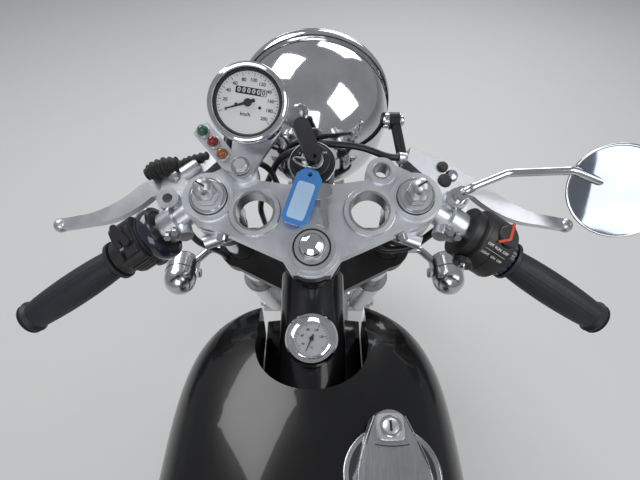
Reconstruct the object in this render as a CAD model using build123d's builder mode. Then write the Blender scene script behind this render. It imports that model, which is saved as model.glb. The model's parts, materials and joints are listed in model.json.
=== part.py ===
from build123d import *
import math
import os

os.makedirs("parts", exist_ok=True)

# A cafe racer motorcycle with an air-cooled single in a frame that carries its oil.
# Millimetres. +Y is forward, +X is the rider's right, +Z is up, the floor is Z = 0.
# It stands on its centre stand, with the front wheel on the floor and the rear wheel clear.

# Clearances
fit = 0.3
running_gap = 1.0

# Ground plan
wheelbase = 1410.0
rear_wheel_lift = 22.0

# Wheels and tyres
front_tyre_r = 316.0
front_tyre_half_width = 46.0
rear_tyre_r = 322.0
rear_tyre_half_width = 54.0
rim_seat_r = 229.0
rim_wall = 3.5
rim_flange_h = 9.0
spoke_r = 1.8
spoke_sets = 9
axle_r = 8.0

# Steering
rake = 27.7
fork_offset = 48.6
fork_length = 724.7
fork_spacing = 190.0
fork_tube_r = 17.5
slider_r = 24.0
slider_top = -410.0
axle_eye_half = 25.0
clamp_thickness = 22.0
lower_clamp_top = -195.0
lower_clamp_thickness = 30.0
lower_boss_r = 27.0
stem_r = 12.5
head_tube_r = 28.0
head_tube_bore = 22.0

# Frame
tube_r = 14.0
backbone_r = 31.0
cradle_half_width = 100.0
rail_half_width = 98.0
pivot_y = -190.0
pivot_z = 345.0
stand_pivot_y = -222.0
stand_pivot_z = 240.0
stand_plate_x = 86.0
side_stand_root = Vector(-100, 40, 212)
side_stand_out = Vector(-0.852, 0.085, 0.516)
side_stand_lug = 27.0
side_stand_eye = 20.0
side_stand_pin_r = 6.0

# Engine
bore_tilt = 8.0
fin_count = 11
fin_thickness = 3.2
fin_pitch = 9.5
barrel_r = 58.0

# Rear guard and seat rails
rear_guard_gap = 42.0
guard_rise = 8.0
guard_wall = 2.0
rail_clearance = 18.0

# Worked out from the sizes above
front_axle = Vector(0, wheelbase / 2, front_tyre_r)
rear_axle = Vector(0, -wheelbase / 2, rear_tyre_r + rear_wheel_lift)
steer_up = Vector(0, -math.sin(math.radians(rake)), math.cos(math.radians(rake)))
steer_forward = Vector(0, math.cos(math.radians(rake)), math.sin(math.radians(rake)))
stem_top = front_axle - steer_forward * fork_offset + steer_up * fork_length
stem = Plane(origin=stem_top, x_dir=(1, 0, 0), z_dir=steer_up)
fork_x = fork_spacing / 2
rear_guard_r = rear_tyre_r + rear_guard_gap
rail_z = rear_axle.Z + rear_guard_r + guard_rise + guard_wall + rail_clearance


def at_stem(x, forward, up):
    """A point in the steering's own measure: right, forward of the stem, up the stem."""
    return stem.from_local_coords(Vector(x, forward, up))


def facing(point, toward, x_dir=None):
    """A plane at a point whose normal looks along a direction."""
    return Plane(origin=point, x_dir=x_dir, z_dir=toward)


def rod(radius, *points, bend=None):
    """A round bar along straight runs, with arcs between them, in the part being built."""
    with BuildLine() as run:
        if len(points) > 2:
            FilletPolyline(*points, radius=bend)
        else:
            Line(*points)
    with BuildSketch(facing(run.line @ 0, run.line % 0)) as section:
        Circle(radius)
    sweep(section.sketch, path=run.wires()[0])


def disc(point, toward, radius, height, mode=Mode.ADD):
    """A round boss that starts at a point and grows along a direction."""
    with BuildSketch(facing(point, toward)) as section:
        Circle(radius)
    extrude(section.sketch, amount=height, mode=mode)


def easy_bends(points):
    """A cord's bends: 0.45 of the shorter run beside each corner, over the tangent of half its turn."""
    bends = []
    for before, corner, after in zip(points, points[1:], points[2:]):
        run_in = corner - before
        run_out = after - corner
        half_turn = math.radians(run_in.get_angle(run_out)) / 2
        bends.append(0.45 * min(run_in.length, run_out.length) / math.tan(half_turn))
    return bends


def finish(builder, name):
    """Label a finished piece and write it."""
    builder.part.label = name
    export_step(builder.part, f"parts/{name}.step")


# Wheels: a rim, a hub with two flanges and crossed spokes, turned about the axle
# name, axle, tyre radius, tyre half width, rim half width, hub radius, hub from, hub to
wheel_table = [
    ("front", front_axle, front_tyre_r, front_tyre_half_width, 27.0, 70.0, -36.0, 42.0),
    ("rear", rear_axle, rear_tyre_r, rear_tyre_half_width, 31.0, 76.0, -40.0, 46.0),
]
sprocket_x = -72.0
sprocket_r = 99.0
sprocket_thickness = 6.0
for name, axle, tyre_r, tyre_half, rim_half, hub_r, hub_from, hub_to in wheel_table:
    across = Plane(origin=axle, x_dir=(1, 0, 0), z_dir=(0, -1, 0))
    axle_line = Axis(axle, (1, 0, 0))
    flange_r = rim_seat_r + rim_flange_h
    well_r = rim_seat_r - 11
    bead = rim_half - rim_wall
    # Spokes in four sets: side of the hub, lean round the wheel, place along the rim
    spoke_table = [(-1, 1, 0.0), (-1, -1, 0.25), (1, 1, 0.5), (1, -1, 0.75)]
    pitch = 360 / spoke_sets
    spokes = []
    for side, lean, share in spoke_table:
        hub_x = hub_from + 3 if side < 0 else hub_to - 3
        foot = math.radians(share * pitch - lean * 52)
        head = math.radians(share * pitch)
        start = Vector(hub_x + lean * 1.2, (hub_r + 3) * math.cos(foot), (hub_r + 3) * math.sin(foot))
        end = Vector(side * 6.0, (well_r - 2) * math.cos(head), (well_r - 2) * math.sin(head))
        with BuildPart() as spoke:
            rod(spoke_r, start, end)
        spokes.append(spoke.part)
    round_the_axle = [Location(axle, (step * pitch, 0, 0)) for step in range(spoke_sets)]
    with BuildPart() as wheel:
        with BuildSketch(across):
            with BuildLine():
                Polyline(
                    (-rim_half, flange_r),
                    (-bead, flange_r),
                    (-bead, rim_seat_r),
                    (-bead + 8, rim_seat_r),
                    (-bead + 14, well_r),
                    (bead - 14, well_r),
                    (bead - 8, rim_seat_r),
                    (bead, rim_seat_r),
                    (bead, flange_r),
                    (rim_half, flange_r),
                    (rim_half, rim_seat_r - rim_wall),
                    (bead - 8, rim_seat_r - rim_wall),
                    (bead - 13, well_r - rim_wall),
                    (-bead + 13, well_r - rim_wall),
                    (-bead + 8, rim_seat_r - rim_wall),
                    (-rim_half, rim_seat_r - rim_wall),
                    close=True,
                )
            make_face()
        revolve(axis=axle_line)
        with BuildSketch(across):
            with BuildLine():
                Polyline(
                    (hub_from, axle_r + fit),
                    (hub_from, hub_r + 8),
                    (hub_from + 5, hub_r + 8),
                    (hub_from + 9, hub_r - 2),
                    (hub_to - 9, hub_r - 2),
                    (hub_to - 5, hub_r + 8),
                    (hub_to, hub_r + 8),
                    (hub_to, axle_r + fit),
                    close=True,
                )
            make_face()
        revolve(axis=axle_line)
        with Locations(*round_the_axle):
            for spoke_solid in spokes:
                add(spoke_solid)
        if name == "rear":
            sprocket_face = axle + Vector(sprocket_x + sprocket_thickness / 2, 0, 0)
            disc(sprocket_face, (1, 0, 0), 52, hub_from - sprocket_x - sprocket_thickness / 2)
            disc(sprocket_face, (-1, 0, 0), sprocket_r, sprocket_thickness)
            with BuildSketch(facing(axle + Vector(sprocket_x, 0, 0), (-1, 0, 0))):
                with PolarLocations(74, 6):
                    Circle(13)
            extrude(amount=sprocket_thickness, both=True, mode=Mode.SUBTRACT)
            disc(sprocket_face - Vector(10, 0, 0), (1, 0, 0), axle_r + fit, 60, Mode.SUBTRACT)
    finish(wheel, f"{name}_wheel")

    with BuildPart() as tyre:
        with BuildSketch(across):
            with BuildLine():
                inner = bead - fit
                seat = rim_seat_r + fit
                Line((-inner, seat), (inner, seat))
                Line((inner, seat), (inner, flange_r + 2))
                ThreePointArc(
                    (inner, flange_r + 2),
                    (tyre_half - 5, flange_r + 14),
                    (tyre_half, flange_r + 38),
                )
                ThreePointArc(
                    (tyre_half, flange_r + 38),
                    (tyre_half * 0.66, tyre_r - 9),
                    (0, tyre_r),
                )
                ThreePointArc(
                    (0, tyre_r),
                    (-tyre_half * 0.66, tyre_r - 9),
                    (-tyre_half, flange_r + 38),
                )
                ThreePointArc(
                    (-tyre_half, flange_r + 38),
                    (-tyre_half + 5, flange_r + 14),
                    (-inner, flange_r + 2),
                )
                Line((-inner, flange_r + 2), (-inner, seat))
            make_face()
        revolve(axis=axle_line)
    finish(tyre, f"{name}_tyre")

# Top clamp: a flat arrow-shaped yoke with fork eyes, two large ringed holes and two bosses
ring_x = 52.6
ring_forward = 35.5
ring_hole_r = 17.0
ring_r = 23.3
boss_x = 65.0
boss_forward = 74.5
clamp_front = 62.0
with BuildPart() as top_clamp:
    with BuildSketch(stem.offset(-clamp_thickness)):
        with BuildLine():
            Polyline(
                (-111, 40),
                (-104, 68),
                (-72, 84),
                (-50, 66),
                (-24, clamp_front),
                (24, clamp_front),
                (50, 66),
                (72, 84),
                (104, 68),
                (111, 40),
                (98, 24),
                (27, -8),
                (17, -24),
                (-17, -24),
                (-27, -8),
                (-98, 24),
                close=True,
            )
        make_face()
        with Locations((fork_x, fork_offset), (-fork_x, fork_offset)):
            Circle(25)
        with Locations((boss_x, boss_forward), (-boss_x, boss_forward)):
            Circle(14.5)
        Circle(27)
    extrude(amount=clamp_thickness - 3)
    with BuildSketch(stem.offset(-3)):
        with Locations((ring_x, ring_forward), (-ring_x, ring_forward)):
            Circle(ring_r)
        with Locations((fork_x, fork_offset), (-fork_x, fork_offset)):
            Circle(23)
        with Locations((boss_x, boss_forward), (-boss_x, boss_forward)):
            Circle(13)
        Circle(25)
    extrude(amount=3)
    with BuildSketch(stem):
        with Locations((ring_x, ring_forward), (-ring_x, ring_forward)):
            Circle(ring_hole_r)
        with Locations((fork_x, fork_offset), (-fork_x, fork_offset)):
            Circle(fork_tube_r + fit)
        with Locations((boss_x, boss_forward), (-boss_x, boss_forward)):
            Circle(7)
        Circle(stem_r + fit)
    extrude(amount=-clamp_thickness, mode=Mode.SUBTRACT)
finish(top_clamp, "top_clamp")

# Lower clamp with the stem that turns in the head tube
lower_clamp_base = lower_clamp_top - lower_clamp_thickness
with BuildPart() as lower_clamp:
    with BuildSketch(stem.offset(lower_clamp_base)):
        with BuildLine():
            Polyline(
                (-fork_x, 74), (fork_x, 74), (fork_x + 20, 38), (fork_x, 20), (22, -16),
                (-22, -16), (-fork_x, 20), (-fork_x - 20, 38), close=True,
            )
        make_face()
        with Locations((fork_x, fork_offset), (-fork_x, fork_offset)):
            Circle(lower_boss_r)
        Circle(28)
    extrude(amount=lower_clamp_thickness)
    with BuildSketch(stem.offset(lower_clamp_base)):
        Circle(stem_r)
    extrude(amount=-lower_clamp_base)
    with BuildSketch(stem.offset(lower_clamp_top)):
        Circle(head_tube_bore - fit)
    extrude(amount=14)
    with BuildSketch(stem.offset(-clamp_thickness - 14)):
        Circle(head_tube_bore - fit)
    extrude(amount=14 - fit)
    with BuildSketch(stem.offset(lower_clamp_base)):
        with Locations((fork_x, fork_offset), (-fork_x, fork_offset)):
            Circle(fork_tube_r + fit)
    extrude(amount=lower_clamp_thickness, mode=Mode.SUBTRACT)
finish(lower_clamp, "lower_clamp")

# Fork tubes
tube_foot = -560.0
with BuildPart() as fork_tubes:
    with BuildSketch(stem.offset(tube_foot)):
        with Locations((fork_x, fork_offset), (-fork_x, fork_offset)):
            Circle(fork_tube_r)
    extrude(amount=-tube_foot - 2)
finish(fork_tubes, "fork_tubes")

# Fork sliders, with axle eyes at their feet
with BuildPart() as fork_sliders:
    with BuildSketch(stem.offset(-fork_length)):
        with Locations((fork_x, fork_offset), (-fork_x, fork_offset)):
            Circle(slider_r)
    extrude(amount=slider_top + fork_length)
    with BuildSketch(stem.offset(slider_top)):
        with Locations((fork_x, fork_offset), (-fork_x, fork_offset)):
            Circle(slider_r + 3)
    extrude(amount=-12)
    for side in (-1, 1):
        eye = front_axle + Vector(side * (fork_x - axle_eye_half), 0, 0)
        disc(eye, (side, 0, 0), 25, 2 * axle_eye_half)
        disc(eye, (side, 0, 0), axle_r + fit, 2 * axle_eye_half, Mode.SUBTRACT)
    with BuildSketch(stem.offset(slider_top)):
        with Locations((fork_x, fork_offset), (-fork_x, fork_offset)):
            Circle(fork_tube_r + fit)
    extrude(amount=tube_foot - 2 - slider_top, mode=Mode.SUBTRACT)
finish(fork_sliders, "fork_sliders")

# Fork caps with their domed adjusters, and the stem nut on its collar
adjuster_hex = 10.0
adjuster_dome_r = 8.5
adjuster_seat = 16.0
adjuster_wall = 9.5
with BuildPart() as fork_caps:
    with BuildSketch(stem.offset(-2 + fit)):
        with Locations((fork_x, fork_offset), (-fork_x, fork_offset)):
            Circle(fork_tube_r - 0.5)
    extrude(amount=6)
    with BuildSketch(stem.offset(3)):
        with Locations((fork_x, fork_offset), (-fork_x, fork_offset)):
            RegularPolygon(adjuster_hex, 6)
    extrude(amount=14)
    for side in (-1, 1):
        adjuster = at_stem(side * fork_x, fork_offset, adjuster_seat)
        with BuildSketch(Plane(origin=adjuster, x_dir=(1, 0, 0), z_dir=(-steer_forward))) as half:
            with BuildLine():
                Line((0, 0), (adjuster_dome_r, 0))
                Line((adjuster_dome_r, 0), (adjuster_dome_r, adjuster_wall))
                CenterArc((0, adjuster_wall), adjuster_dome_r, 0, 90)
                Line((0, adjuster_wall + adjuster_dome_r), (0, 0))
            make_face()
        revolve(half.sketch, axis=Axis(adjuster, steer_up))
    with BuildSketch(stem.offset(fit)):
        Circle(21.5)
    extrude(amount=5)
    with BuildSketch(stem.offset(4)):
        RegularPolygon(12.5, 6)
    extrude(amount=7)
    with BuildSketch(stem.offset(10)):
        Circle(10)
    extrude(amount=7, taper=20)
finish(fork_caps, "fork_caps")

# Clip-on bars: a ring round each fork tube and a bar that falls away behind it
bar_r = 11.0
bar_inner = (118.0, 50.0, -44.0)
bar_outer = (302.0, -47.0, -115.0)
grip_from = 200.0
grip_to = 309.0
ring_top = -30.0
ring_height = 34.0


def on_bar(side, x):
    """The bar's centre at a distance from the midplane."""
    share = (x - bar_inner[0]) / (bar_outer[0] - bar_inner[0])
    forward = bar_inner[1] + share * (bar_outer[1] - bar_inner[1])
    up = bar_inner[2] + share * (bar_outer[2] - bar_inner[2])
    return at_stem(side * x, forward, up)


with BuildPart() as clip_ons:
    with BuildSketch(stem.offset(ring_top - ring_height)):
        with Locations((fork_x, fork_offset), (-fork_x, fork_offset)):
            Circle(fork_tube_r + 8)
    extrude(amount=ring_height)
    for side in (-1, 1):
        rod(bar_r, on_bar(side, fork_x + 18), on_bar(side, bar_outer[0]))
        rod(
            7,
            at_stem(side * (fork_x - 20), fork_offset - 20, ring_top - ring_height / 2),
            at_stem(side * (fork_x + 12), fork_offset - 32, ring_top - ring_height / 2),
        )
    with BuildSketch(stem.offset(ring_top)):
        with Locations((fork_x, fork_offset), (-fork_x, fork_offset)):
            Circle(fork_tube_r + fit)
    extrude(amount=-ring_height, mode=Mode.SUBTRACT)
finish(clip_ons, "clip_ons")

# Grips: a rubber sleeve, fuller in the middle, with a flange and a closed outer end
grip_r = 16.0
with BuildPart() as grips:
    for side in (-1, 1):
        inner_end = on_bar(side, grip_from)
        outer_end = on_bar(side, grip_to)
        run = outer_end - inner_end
        along = facing(inner_end, run)
        with BuildSketch(Plane(origin=inner_end, x_dir=along.x_dir, z_dir=along.y_dir * -1)) as half:
            with BuildLine():
                Polyline(
                    (0, 0),
                    (grip_r + 5, 0),
                    (grip_r + 5, 4),
                    (grip_r - 1, 8),
                )
                ThreePointArc((grip_r - 1, 8), (grip_r + 1.5, run.length / 2), (grip_r - 1, run.length - 10))
                Polyline(
                    (grip_r - 1, run.length - 10),
                    (grip_r + 2, run.length - 5),
                    (grip_r, run.length),
                    (0, run.length),
                    (0, 0),
                )
            make_face()
        revolve(axis=Axis(inner_end, run))
        with BuildSketch(along):
            Circle(bar_r + fit)
        extrude(amount=run.length - 8, mode=Mode.SUBTRACT)
finish(grips, "grips")

# Switch housings round the bars: an inner drum, a body and a collar that meets the grip
# from along the bar, length, radius
housing_from = 152.0
housing_steps = [(0.0, 15.0, 27.0), (15.0, 26.0, 24.0), (41.0, 14.5, 19.0)]
kill_ridge = (28.0, 8.0, 5.0)
with BuildPart() as switch_housings:
    for side in (-1, 1):
        inner_end = on_bar(side, housing_from)
        outward = (on_bar(side, grip_from) - inner_end).normalized()
        top = (steer_up - outward * steer_up.dot(outward)).normalized()
        for start, length, radius in housing_steps:
            disc(inner_end + outward * start, outward, radius, length)
        block_seat = Plane(origin=inner_end + outward * 15, x_dir=top.cross(outward), z_dir=outward)
        with BuildSketch(block_seat):
            with Locations((0, 6)):
                RectangleRounded(46, 44, 8)
        extrude(amount=26)
        switch_seat = Plane(origin=inner_end + outward * 28 + top * 27, x_dir=outward, z_dir=top)
        with BuildSketch(switch_seat):
            with Locations((0, side * 8)):
                SlotOverall(kill_ridge[0], kill_ridge[1], rotation=70 * side)
        extrude(amount=kill_ridge[2])
        disc(inner_end - outward * 1, outward, bar_r + fit, 58, Mode.SUBTRACT)
finish(switch_housings, "switch_housings")

# Levers and perches: modelled on the right in a plane that falls away outward, then mirrored
perch_x = 134.0
lever_fall = math.radians(14.4)
lever_pivot = at_stem(140, 88, -58)
lever_out = Vector(math.cos(lever_fall), 0, 0) - steer_up * math.sin(lever_fall)
lever_plane = Plane(origin=lever_pivot, x_dir=lever_out, z_dir=lever_out.cross(steer_forward))
lever_thickness = 9.0
perch_thickness = 20.0
lever_ball_r = 8.0
cable_stop = (-46.0, 18.5)
mirror_thread_r = 5.0
mirror_boss_top = -42.0
mirror_boss_height = 22.0
with BuildPart() as lever:
    with BuildSketch(lever_plane.offset(-lever_thickness / 2)):
        with BuildLine():
            ThreePointArc((10, 11), (-11, 2), (-2, -11))
            Line((-2, -11), (28, -18))
            ThreePointArc((28, -18), (60, -36), (100, -43))
            Line((100, -43), (140, -46))
            Line((140, -46), (140, -34))
            Line((140, -34), (104, -31))
            ThreePointArc((104, -31), (74, -22), (44, -4))
            Line((44, -4), (10, 11))
        make_face()
    extrude(amount=lever_thickness)
    with Locations(lever_plane.from_local_coords(Vector(140, -40, 0))):
        Sphere(lever_ball_r)
with BuildPart() as perch:
    with BuildSketch(lever_plane.offset(-perch_thickness / 2)):
        with BuildLine():
            Polyline(
                (-12, -44), (12, -46), (17, -26), (13, -2), (10, 11), (-12, 18), (-44, 27), (-48, 12),
                (-28, -4), (-20, -26), close=True,
            )
        make_face()
    extrude(amount=perch_thickness)
    with BuildSketch(lever_plane.offset(-lever_thickness / 2 - 0.5)):
        Polygon((-15, -15), (40, -30), (40, 30), (-15, 30), align=None)
    extrude(amount=lever_thickness + 1, mode=Mode.SUBTRACT)
    disc(lever_plane.from_local_coords(Vector(0, 0, -12)), lever_plane.z_dir, 4, 24)
    disc(lever_plane.from_local_coords(Vector(cable_stop[0] + 6, cable_stop[1], 0)), lever_out * -1, 6, 14)
    clamp_seat = on_bar(1, perch_x)
    bar_out = (on_bar(1, grip_from) - clamp_seat).normalized()
    disc(clamp_seat, bar_out, bar_r + 6, 17)
    disc(at_stem(146, 62, mirror_boss_top - mirror_boss_height), steer_up, 11, mirror_boss_height)
    disc(clamp_seat - bar_out * 26, bar_out, bar_r + fit, 56, Mode.SUBTRACT)
with BuildPart() as hand_levers:
    add(lever.part)
    add(perch.part)
    mirror(about=Plane.YZ)
    disc(at_stem(-146, 62, mirror_boss_top), steer_up * -1, mirror_thread_r, 20, Mode.SUBTRACT)
finish(hand_levers, "hand_levers")

# Mirror on the right: a bent stem on a lock nut and a shallow round cup
mirror_centre = stem_top + Vector(304, 76.9, -1.05)
mirror_normal = Vector(-0.42, -0.76, 0.50)
mirror_r = 47.0
mirror_stem_r = 4.2
with BuildPart() as mirror_piece:
    rod(
        mirror_stem_r,
        at_stem(146, 62, -38),
        at_stem(146, 62, -22),
        stem_top + Vector(194, 89.9, 10.95),
        stem_top + Vector(257, 87.9, 15.95),
        mirror_centre - mirror_normal.normalized() * 14,
        bend=[10, 20, 16],
    )
    with BuildSketch(stem.offset(mirror_boss_top + fit)):
        with Locations((146, 62)):
            RegularPolygon(9.5, 6)
    extrude(amount=7)
    disc(at_stem(146, 62, mirror_boss_top + 7), steer_up, 7, 9)
    with BuildSketch(facing(mirror_centre, mirror_normal)):
        Circle(mirror_r)
    extrude(amount=-16, taper=22)
finish(mirror_piece, "mirror")

# Speedometer: a chrome cup tipped toward the rider, on a bracket from the left boss
meter_face = at_stem(-51, 103, 75)
meter_normal = Vector(0, -0.70, 0.714)
meter_r = 33.0
meter_depth = 48.0
with BuildPart() as speedometer:
    with BuildSketch(Plane(origin=meter_face, x_dir=(1, 0, 0), z_dir=(0, -meter_normal.Z, meter_normal.Y))):
        with BuildLine():
            Polyline(
                (0, -meter_depth),
                (meter_r - 8, -meter_depth),
                (meter_r - 5, -meter_depth + 4),
                (meter_r - 2.5, -12),
                (meter_r - 2.5, -9),
            )
            ThreePointArc((meter_r - 2.5, -9), (meter_r, -4.5), (meter_r - 2, 0))
            Polyline((meter_r - 2, 0), (meter_r - 5, -1), (meter_r - 5.5, -5), (0, -5), (0, -meter_depth))
        make_face()
    revolve(axis=Axis(meter_face, meter_normal))
finish(speedometer, "speedometer")

# Bracket under the speedometer, with the arc-shaped plate of pilot lamps
bracket_top = meter_face - meter_normal * (meter_depth + fit)
pilot_up = 9.0
pilot_row = [(-101.0, 109.0), (-91.0, 98.0), (-82.0, 86.0)]
with BuildPart() as speedo_bracket:
    disc(bracket_top, meter_normal * -1, 22, 26)
    with BuildSketch(stem.offset(fit)):
        with Locations((-boss_x, boss_forward)):
            Circle(12)
    extrude(amount=pilot_up - fit)
    with BuildSketch(stem.offset(3)):
        Polygon((-boss_x - 11, 72), (-boss_x + 9, 66), (-28, 112), (-72, 122), align=None)
    extrude(amount=5)
    with BuildSketch(stem.offset(pilot_up - 1)):
        with BuildLine():
            Line((-boss_x, boss_forward), (-76, 79))
            ThreePointArc((-76, 79), (-91, 98), (-104, 113))
        trace(line_width=17.0)
    extrude(amount=3)
    with BuildSketch(stem.offset(pilot_up + 2)):
        with Locations(*pilot_row):
            Circle(4.8)
    extrude(amount=4, taper=12)
    with BuildSketch(stem.offset(pilot_up + 2)):
        with Locations((-boss_x, boss_forward)):
            RegularPolygon(6, 6)
    extrude(amount=5)
finish(speedo_bracket, "speedo_bracket")

# Ignition switch on the front edge of the top clamp
switch_forward = 88.0
with BuildPart() as ignition_switch:
    with BuildSketch(stem.offset(-58)):
        with Locations((0, switch_forward)):
            Circle(22)
    extrude(amount=44)
    with BuildSketch(stem.offset(-14)):
        with Locations((0, switch_forward)):
            Circle(16)
    extrude(amount=6)
    with BuildSketch(stem.offset(-8)):
        with Locations((0, switch_forward)):
            Circle(10.5)
    extrude(amount=3)
    with BuildSketch(stem.offset(-20)):
        with Locations((0, clamp_front + fit + 3)):
            Rectangle(30, 6)
    extrude(amount=10)
finish(ignition_switch, "ignition_switch")

# Key in the lock: a blade, a long plastic head that leans to the left, and its ring
key_lean = Vector(-0.35, 0.86, 0.37)
key_root = at_stem(0, switch_forward, -5 + fit)
key_right = key_lean.cross(steer_up).normalized()
with BuildPart() as ignition_key:
    with BuildSketch(Plane(origin=key_root, x_dir=key_right, z_dir=steer_up)):
        Rectangle(2.4, 9)
    extrude(amount=12)
    head_seat = Plane(origin=key_root + steer_up * 11, x_dir=key_right, z_dir=steer_up)
    with BuildSketch(head_seat):
        with Locations((0, 12)):
            SlotOverall(46, 15, rotation=90)
    extrude(amount=9)
    with BuildSketch(head_seat):
        with Locations((0, -6)):
            Circle(2.2)
    extrude(amount=9, mode=Mode.SUBTRACT)
finish(ignition_key, "ignition_key")

# Plastic tag that lies on the clamp below the lock, and a spare key beside it
tag_rest = 5 + 2 * fit
tag_head = at_stem(0, 71, tag_rest)
tag_foot = at_stem(-17, 20, tag_rest)
tag_length = (tag_foot - tag_head).length
tag_along = (tag_foot - tag_head).normalized()
tag_plane = Plane(origin=(tag_head + tag_foot) * 0.5, x_dir=tag_along, z_dir=steer_up)
with BuildPart() as key_tag:
    with BuildSketch(tag_plane):
        with BuildLine():
            Polyline(
                (-tag_length / 2, -6),
                (-tag_length / 2 + 7, -12),
                (tag_length / 2 - 4, -12),
                (tag_length / 2, -8),
                (tag_length / 2, 8),
                (tag_length / 2 - 4, 12),
                (-tag_length / 2 + 7, 12),
                (-tag_length / 2, 6),
                close=True,
            )
        make_face()
    extrude(amount=5)
    disc(tag_head + tag_along * 5 - steer_up, steer_up, 2.2, 8, Mode.SUBTRACT)
finish(key_tag, "key_tag")

# Headlamp: a chrome bowl with its rim, and a domed lens
lamp_centre = stem_top + Vector(0, 234.9, -7.05)
lamp_r = 90.0
with BuildPart() as headlamp:
    with BuildSketch(Plane(origin=lamp_centre, x_dir=(0, 0, 1), z_dir=(1, 0, 0))):
        with BuildLine():
            ThreePointArc((0, 102), (60, 76), (lamp_r - 4, 0))
            Line((lamp_r - 4, 0), (lamp_r - 1, 0))
            ThreePointArc((lamp_r - 1, 0), (lamp_r + 1.5, -7), (lamp_r, -14))
            Line((lamp_r, -14), (lamp_r - 8, -18))
            Line((lamp_r - 8, -18), (0, -18))
            Line((0, -18), (0, 102))
        make_face()
    revolve(axis=Axis(lamp_centre, (0, 1, 0)))
    for side in (-1, 1):
        disc(lamp_centre + Vector(side * 66, -30, 0), (side, 0, 0), 9, lamp_r - 2 - 66)
finish(headlamp, "headlamp")

with BuildPart() as headlamp_lens:
    with BuildSketch(Plane(origin=lamp_centre + Vector(0, 18 + fit, 0), x_dir=(0, 0, 1), z_dir=(1, 0, 0))):
        with BuildLine():
            Line((0, 0), (0, -18))
            ThreePointArc((0, -18), (45, -14), (lamp_r - 9, 0))
            Line((lamp_r - 9, 0), (0, 0))
        make_face()
    revolve(axis=Axis(lamp_centre, (0, 1, 0)))
finish(headlamp_lens, "headlamp_lens")

# Headlamp stays: flat bars from the fork tubes to the sides of the bowl
stay_up = -88.0
with BuildPart() as headlamp_stays:
    with BuildSketch(stem.offset(stay_up - 12)):
        with Locations((fork_x, fork_offset), (-fork_x, fork_offset)):
            Circle(fork_tube_r + 5)
    extrude(amount=24)
    for side in (-1, 1):
        eye = lamp_centre + Vector(side * (lamp_r - 2 + fit), -30, 0)
        disc(eye, (side, 0, 0), 10, 12)
        rod(6, at_stem(side * (fork_x + 16), fork_offset, stay_up), eye + Vector(side * 7, 0, 0))
    with BuildSketch(stem.offset(stay_up - 12)):
        with Locations((fork_x, fork_offset), (-fork_x, fork_offset)):
            Circle(fork_tube_r + fit)
    extrude(amount=24, mode=Mode.SUBTRACT)
finish(headlamp_stays, "headlamp_stays")

# Turn signals: a short barrel on a stem, two in front and two behind
signal_half = 30.0
signal_r = 20.0
signal_bulge = 10.0


def signal_barrel(centre, ahead):
    """A barrel with a domed back, a rim and a bulging lens that looks along or against +Y."""
    lens_r = signal_r - 2
    lens_seat = signal_half - signal_bulge
    bulge_r = (signal_bulge**2 + lens_r**2) / (2 * signal_bulge)
    with BuildSketch(Plane(origin=centre, x_dir=(0, ahead, 0), z_dir=(ahead, 0, 0))) as half:
        with BuildLine():
            CenterArc((signal_r - signal_half, 0), signal_r, 90, 90)
            Line((signal_r - signal_half, signal_r), (lens_seat - 6, signal_r + 1))
            Line((lens_seat - 6, signal_r + 1), (lens_seat - 1, signal_r + 1))
            Line((lens_seat - 1, signal_r + 1), (lens_seat, lens_r))
            CenterArc((signal_half - bulge_r, 0), bulge_r, 0, math.degrees(math.asin(lens_r / bulge_r)))
            Line((signal_half, 0), (-signal_half, 0))
        make_face()
    revolve(half.sketch, axis=Axis(centre, (0, ahead, 0)))


with BuildPart() as front_signals:
    for side in (-1, 1):
        seat = at_stem(side * (fork_x + lower_boss_r + fit), fork_offset, lower_clamp_top - 15)
        lamp = at_stem(side * 172, 16, -205)
        rod(5, seat, seat + Vector(side * 16, 0, 0), lamp, bend=10)
        signal_barrel(lamp, 1)
finish(front_signals, "front_signals")

# Front mudguard: a curved sheet over the tyre with two stays to the sliders
front_guard_gap = 16.0


def guard_shell(axle, inner_r, half_width, start_angle, end_angle):
    """An arched sheet over a wheel, between two angles counted from forward over the top."""
    across = Plane(origin=axle, x_dir=(1, 0, 0), z_dir=(0, -1, 0))
    with BuildSketch(across) as profile:
        with BuildLine():
            ThreePointArc(
                (-half_width, inner_r - 14), (0, inner_r + guard_rise), (half_width, inner_r - 14)
            )
            Line((half_width, inner_r - 14), (half_width + guard_wall, inner_r - 14))
            ThreePointArc(
                (half_width + guard_wall, inner_r - 14),
                (0, inner_r + guard_rise + guard_wall),
                (-half_width - guard_wall, inner_r - 14),
            )
            Line((-half_width - guard_wall, inner_r - 14), (-half_width, inner_r - 14))
        make_face()
    profile_start = profile.sketch.rotate(Axis(axle, (1, 0, 0)), start_angle)
    revolve(profile_start, axis=Axis(axle, (1, 0, 0)), revolution_arc=end_angle - start_angle)


with BuildPart() as front_mudguard:
    guard_shell(front_axle, front_tyre_r + front_guard_gap, 52, -28, 78)
    for side in (-1, 1):
        beside = front_axle + steer_up * 215
        rod(
            5,
            front_axle + Vector(side * 54, -60, front_tyre_r + 6),
            Vector(side * 58, beside.Y, beside.Z),
            Vector(side * (fork_x - slider_r - fit), beside.Y, beside.Z),
            bend=8,
        )
finish(front_mudguard, "front_mudguard")

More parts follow.
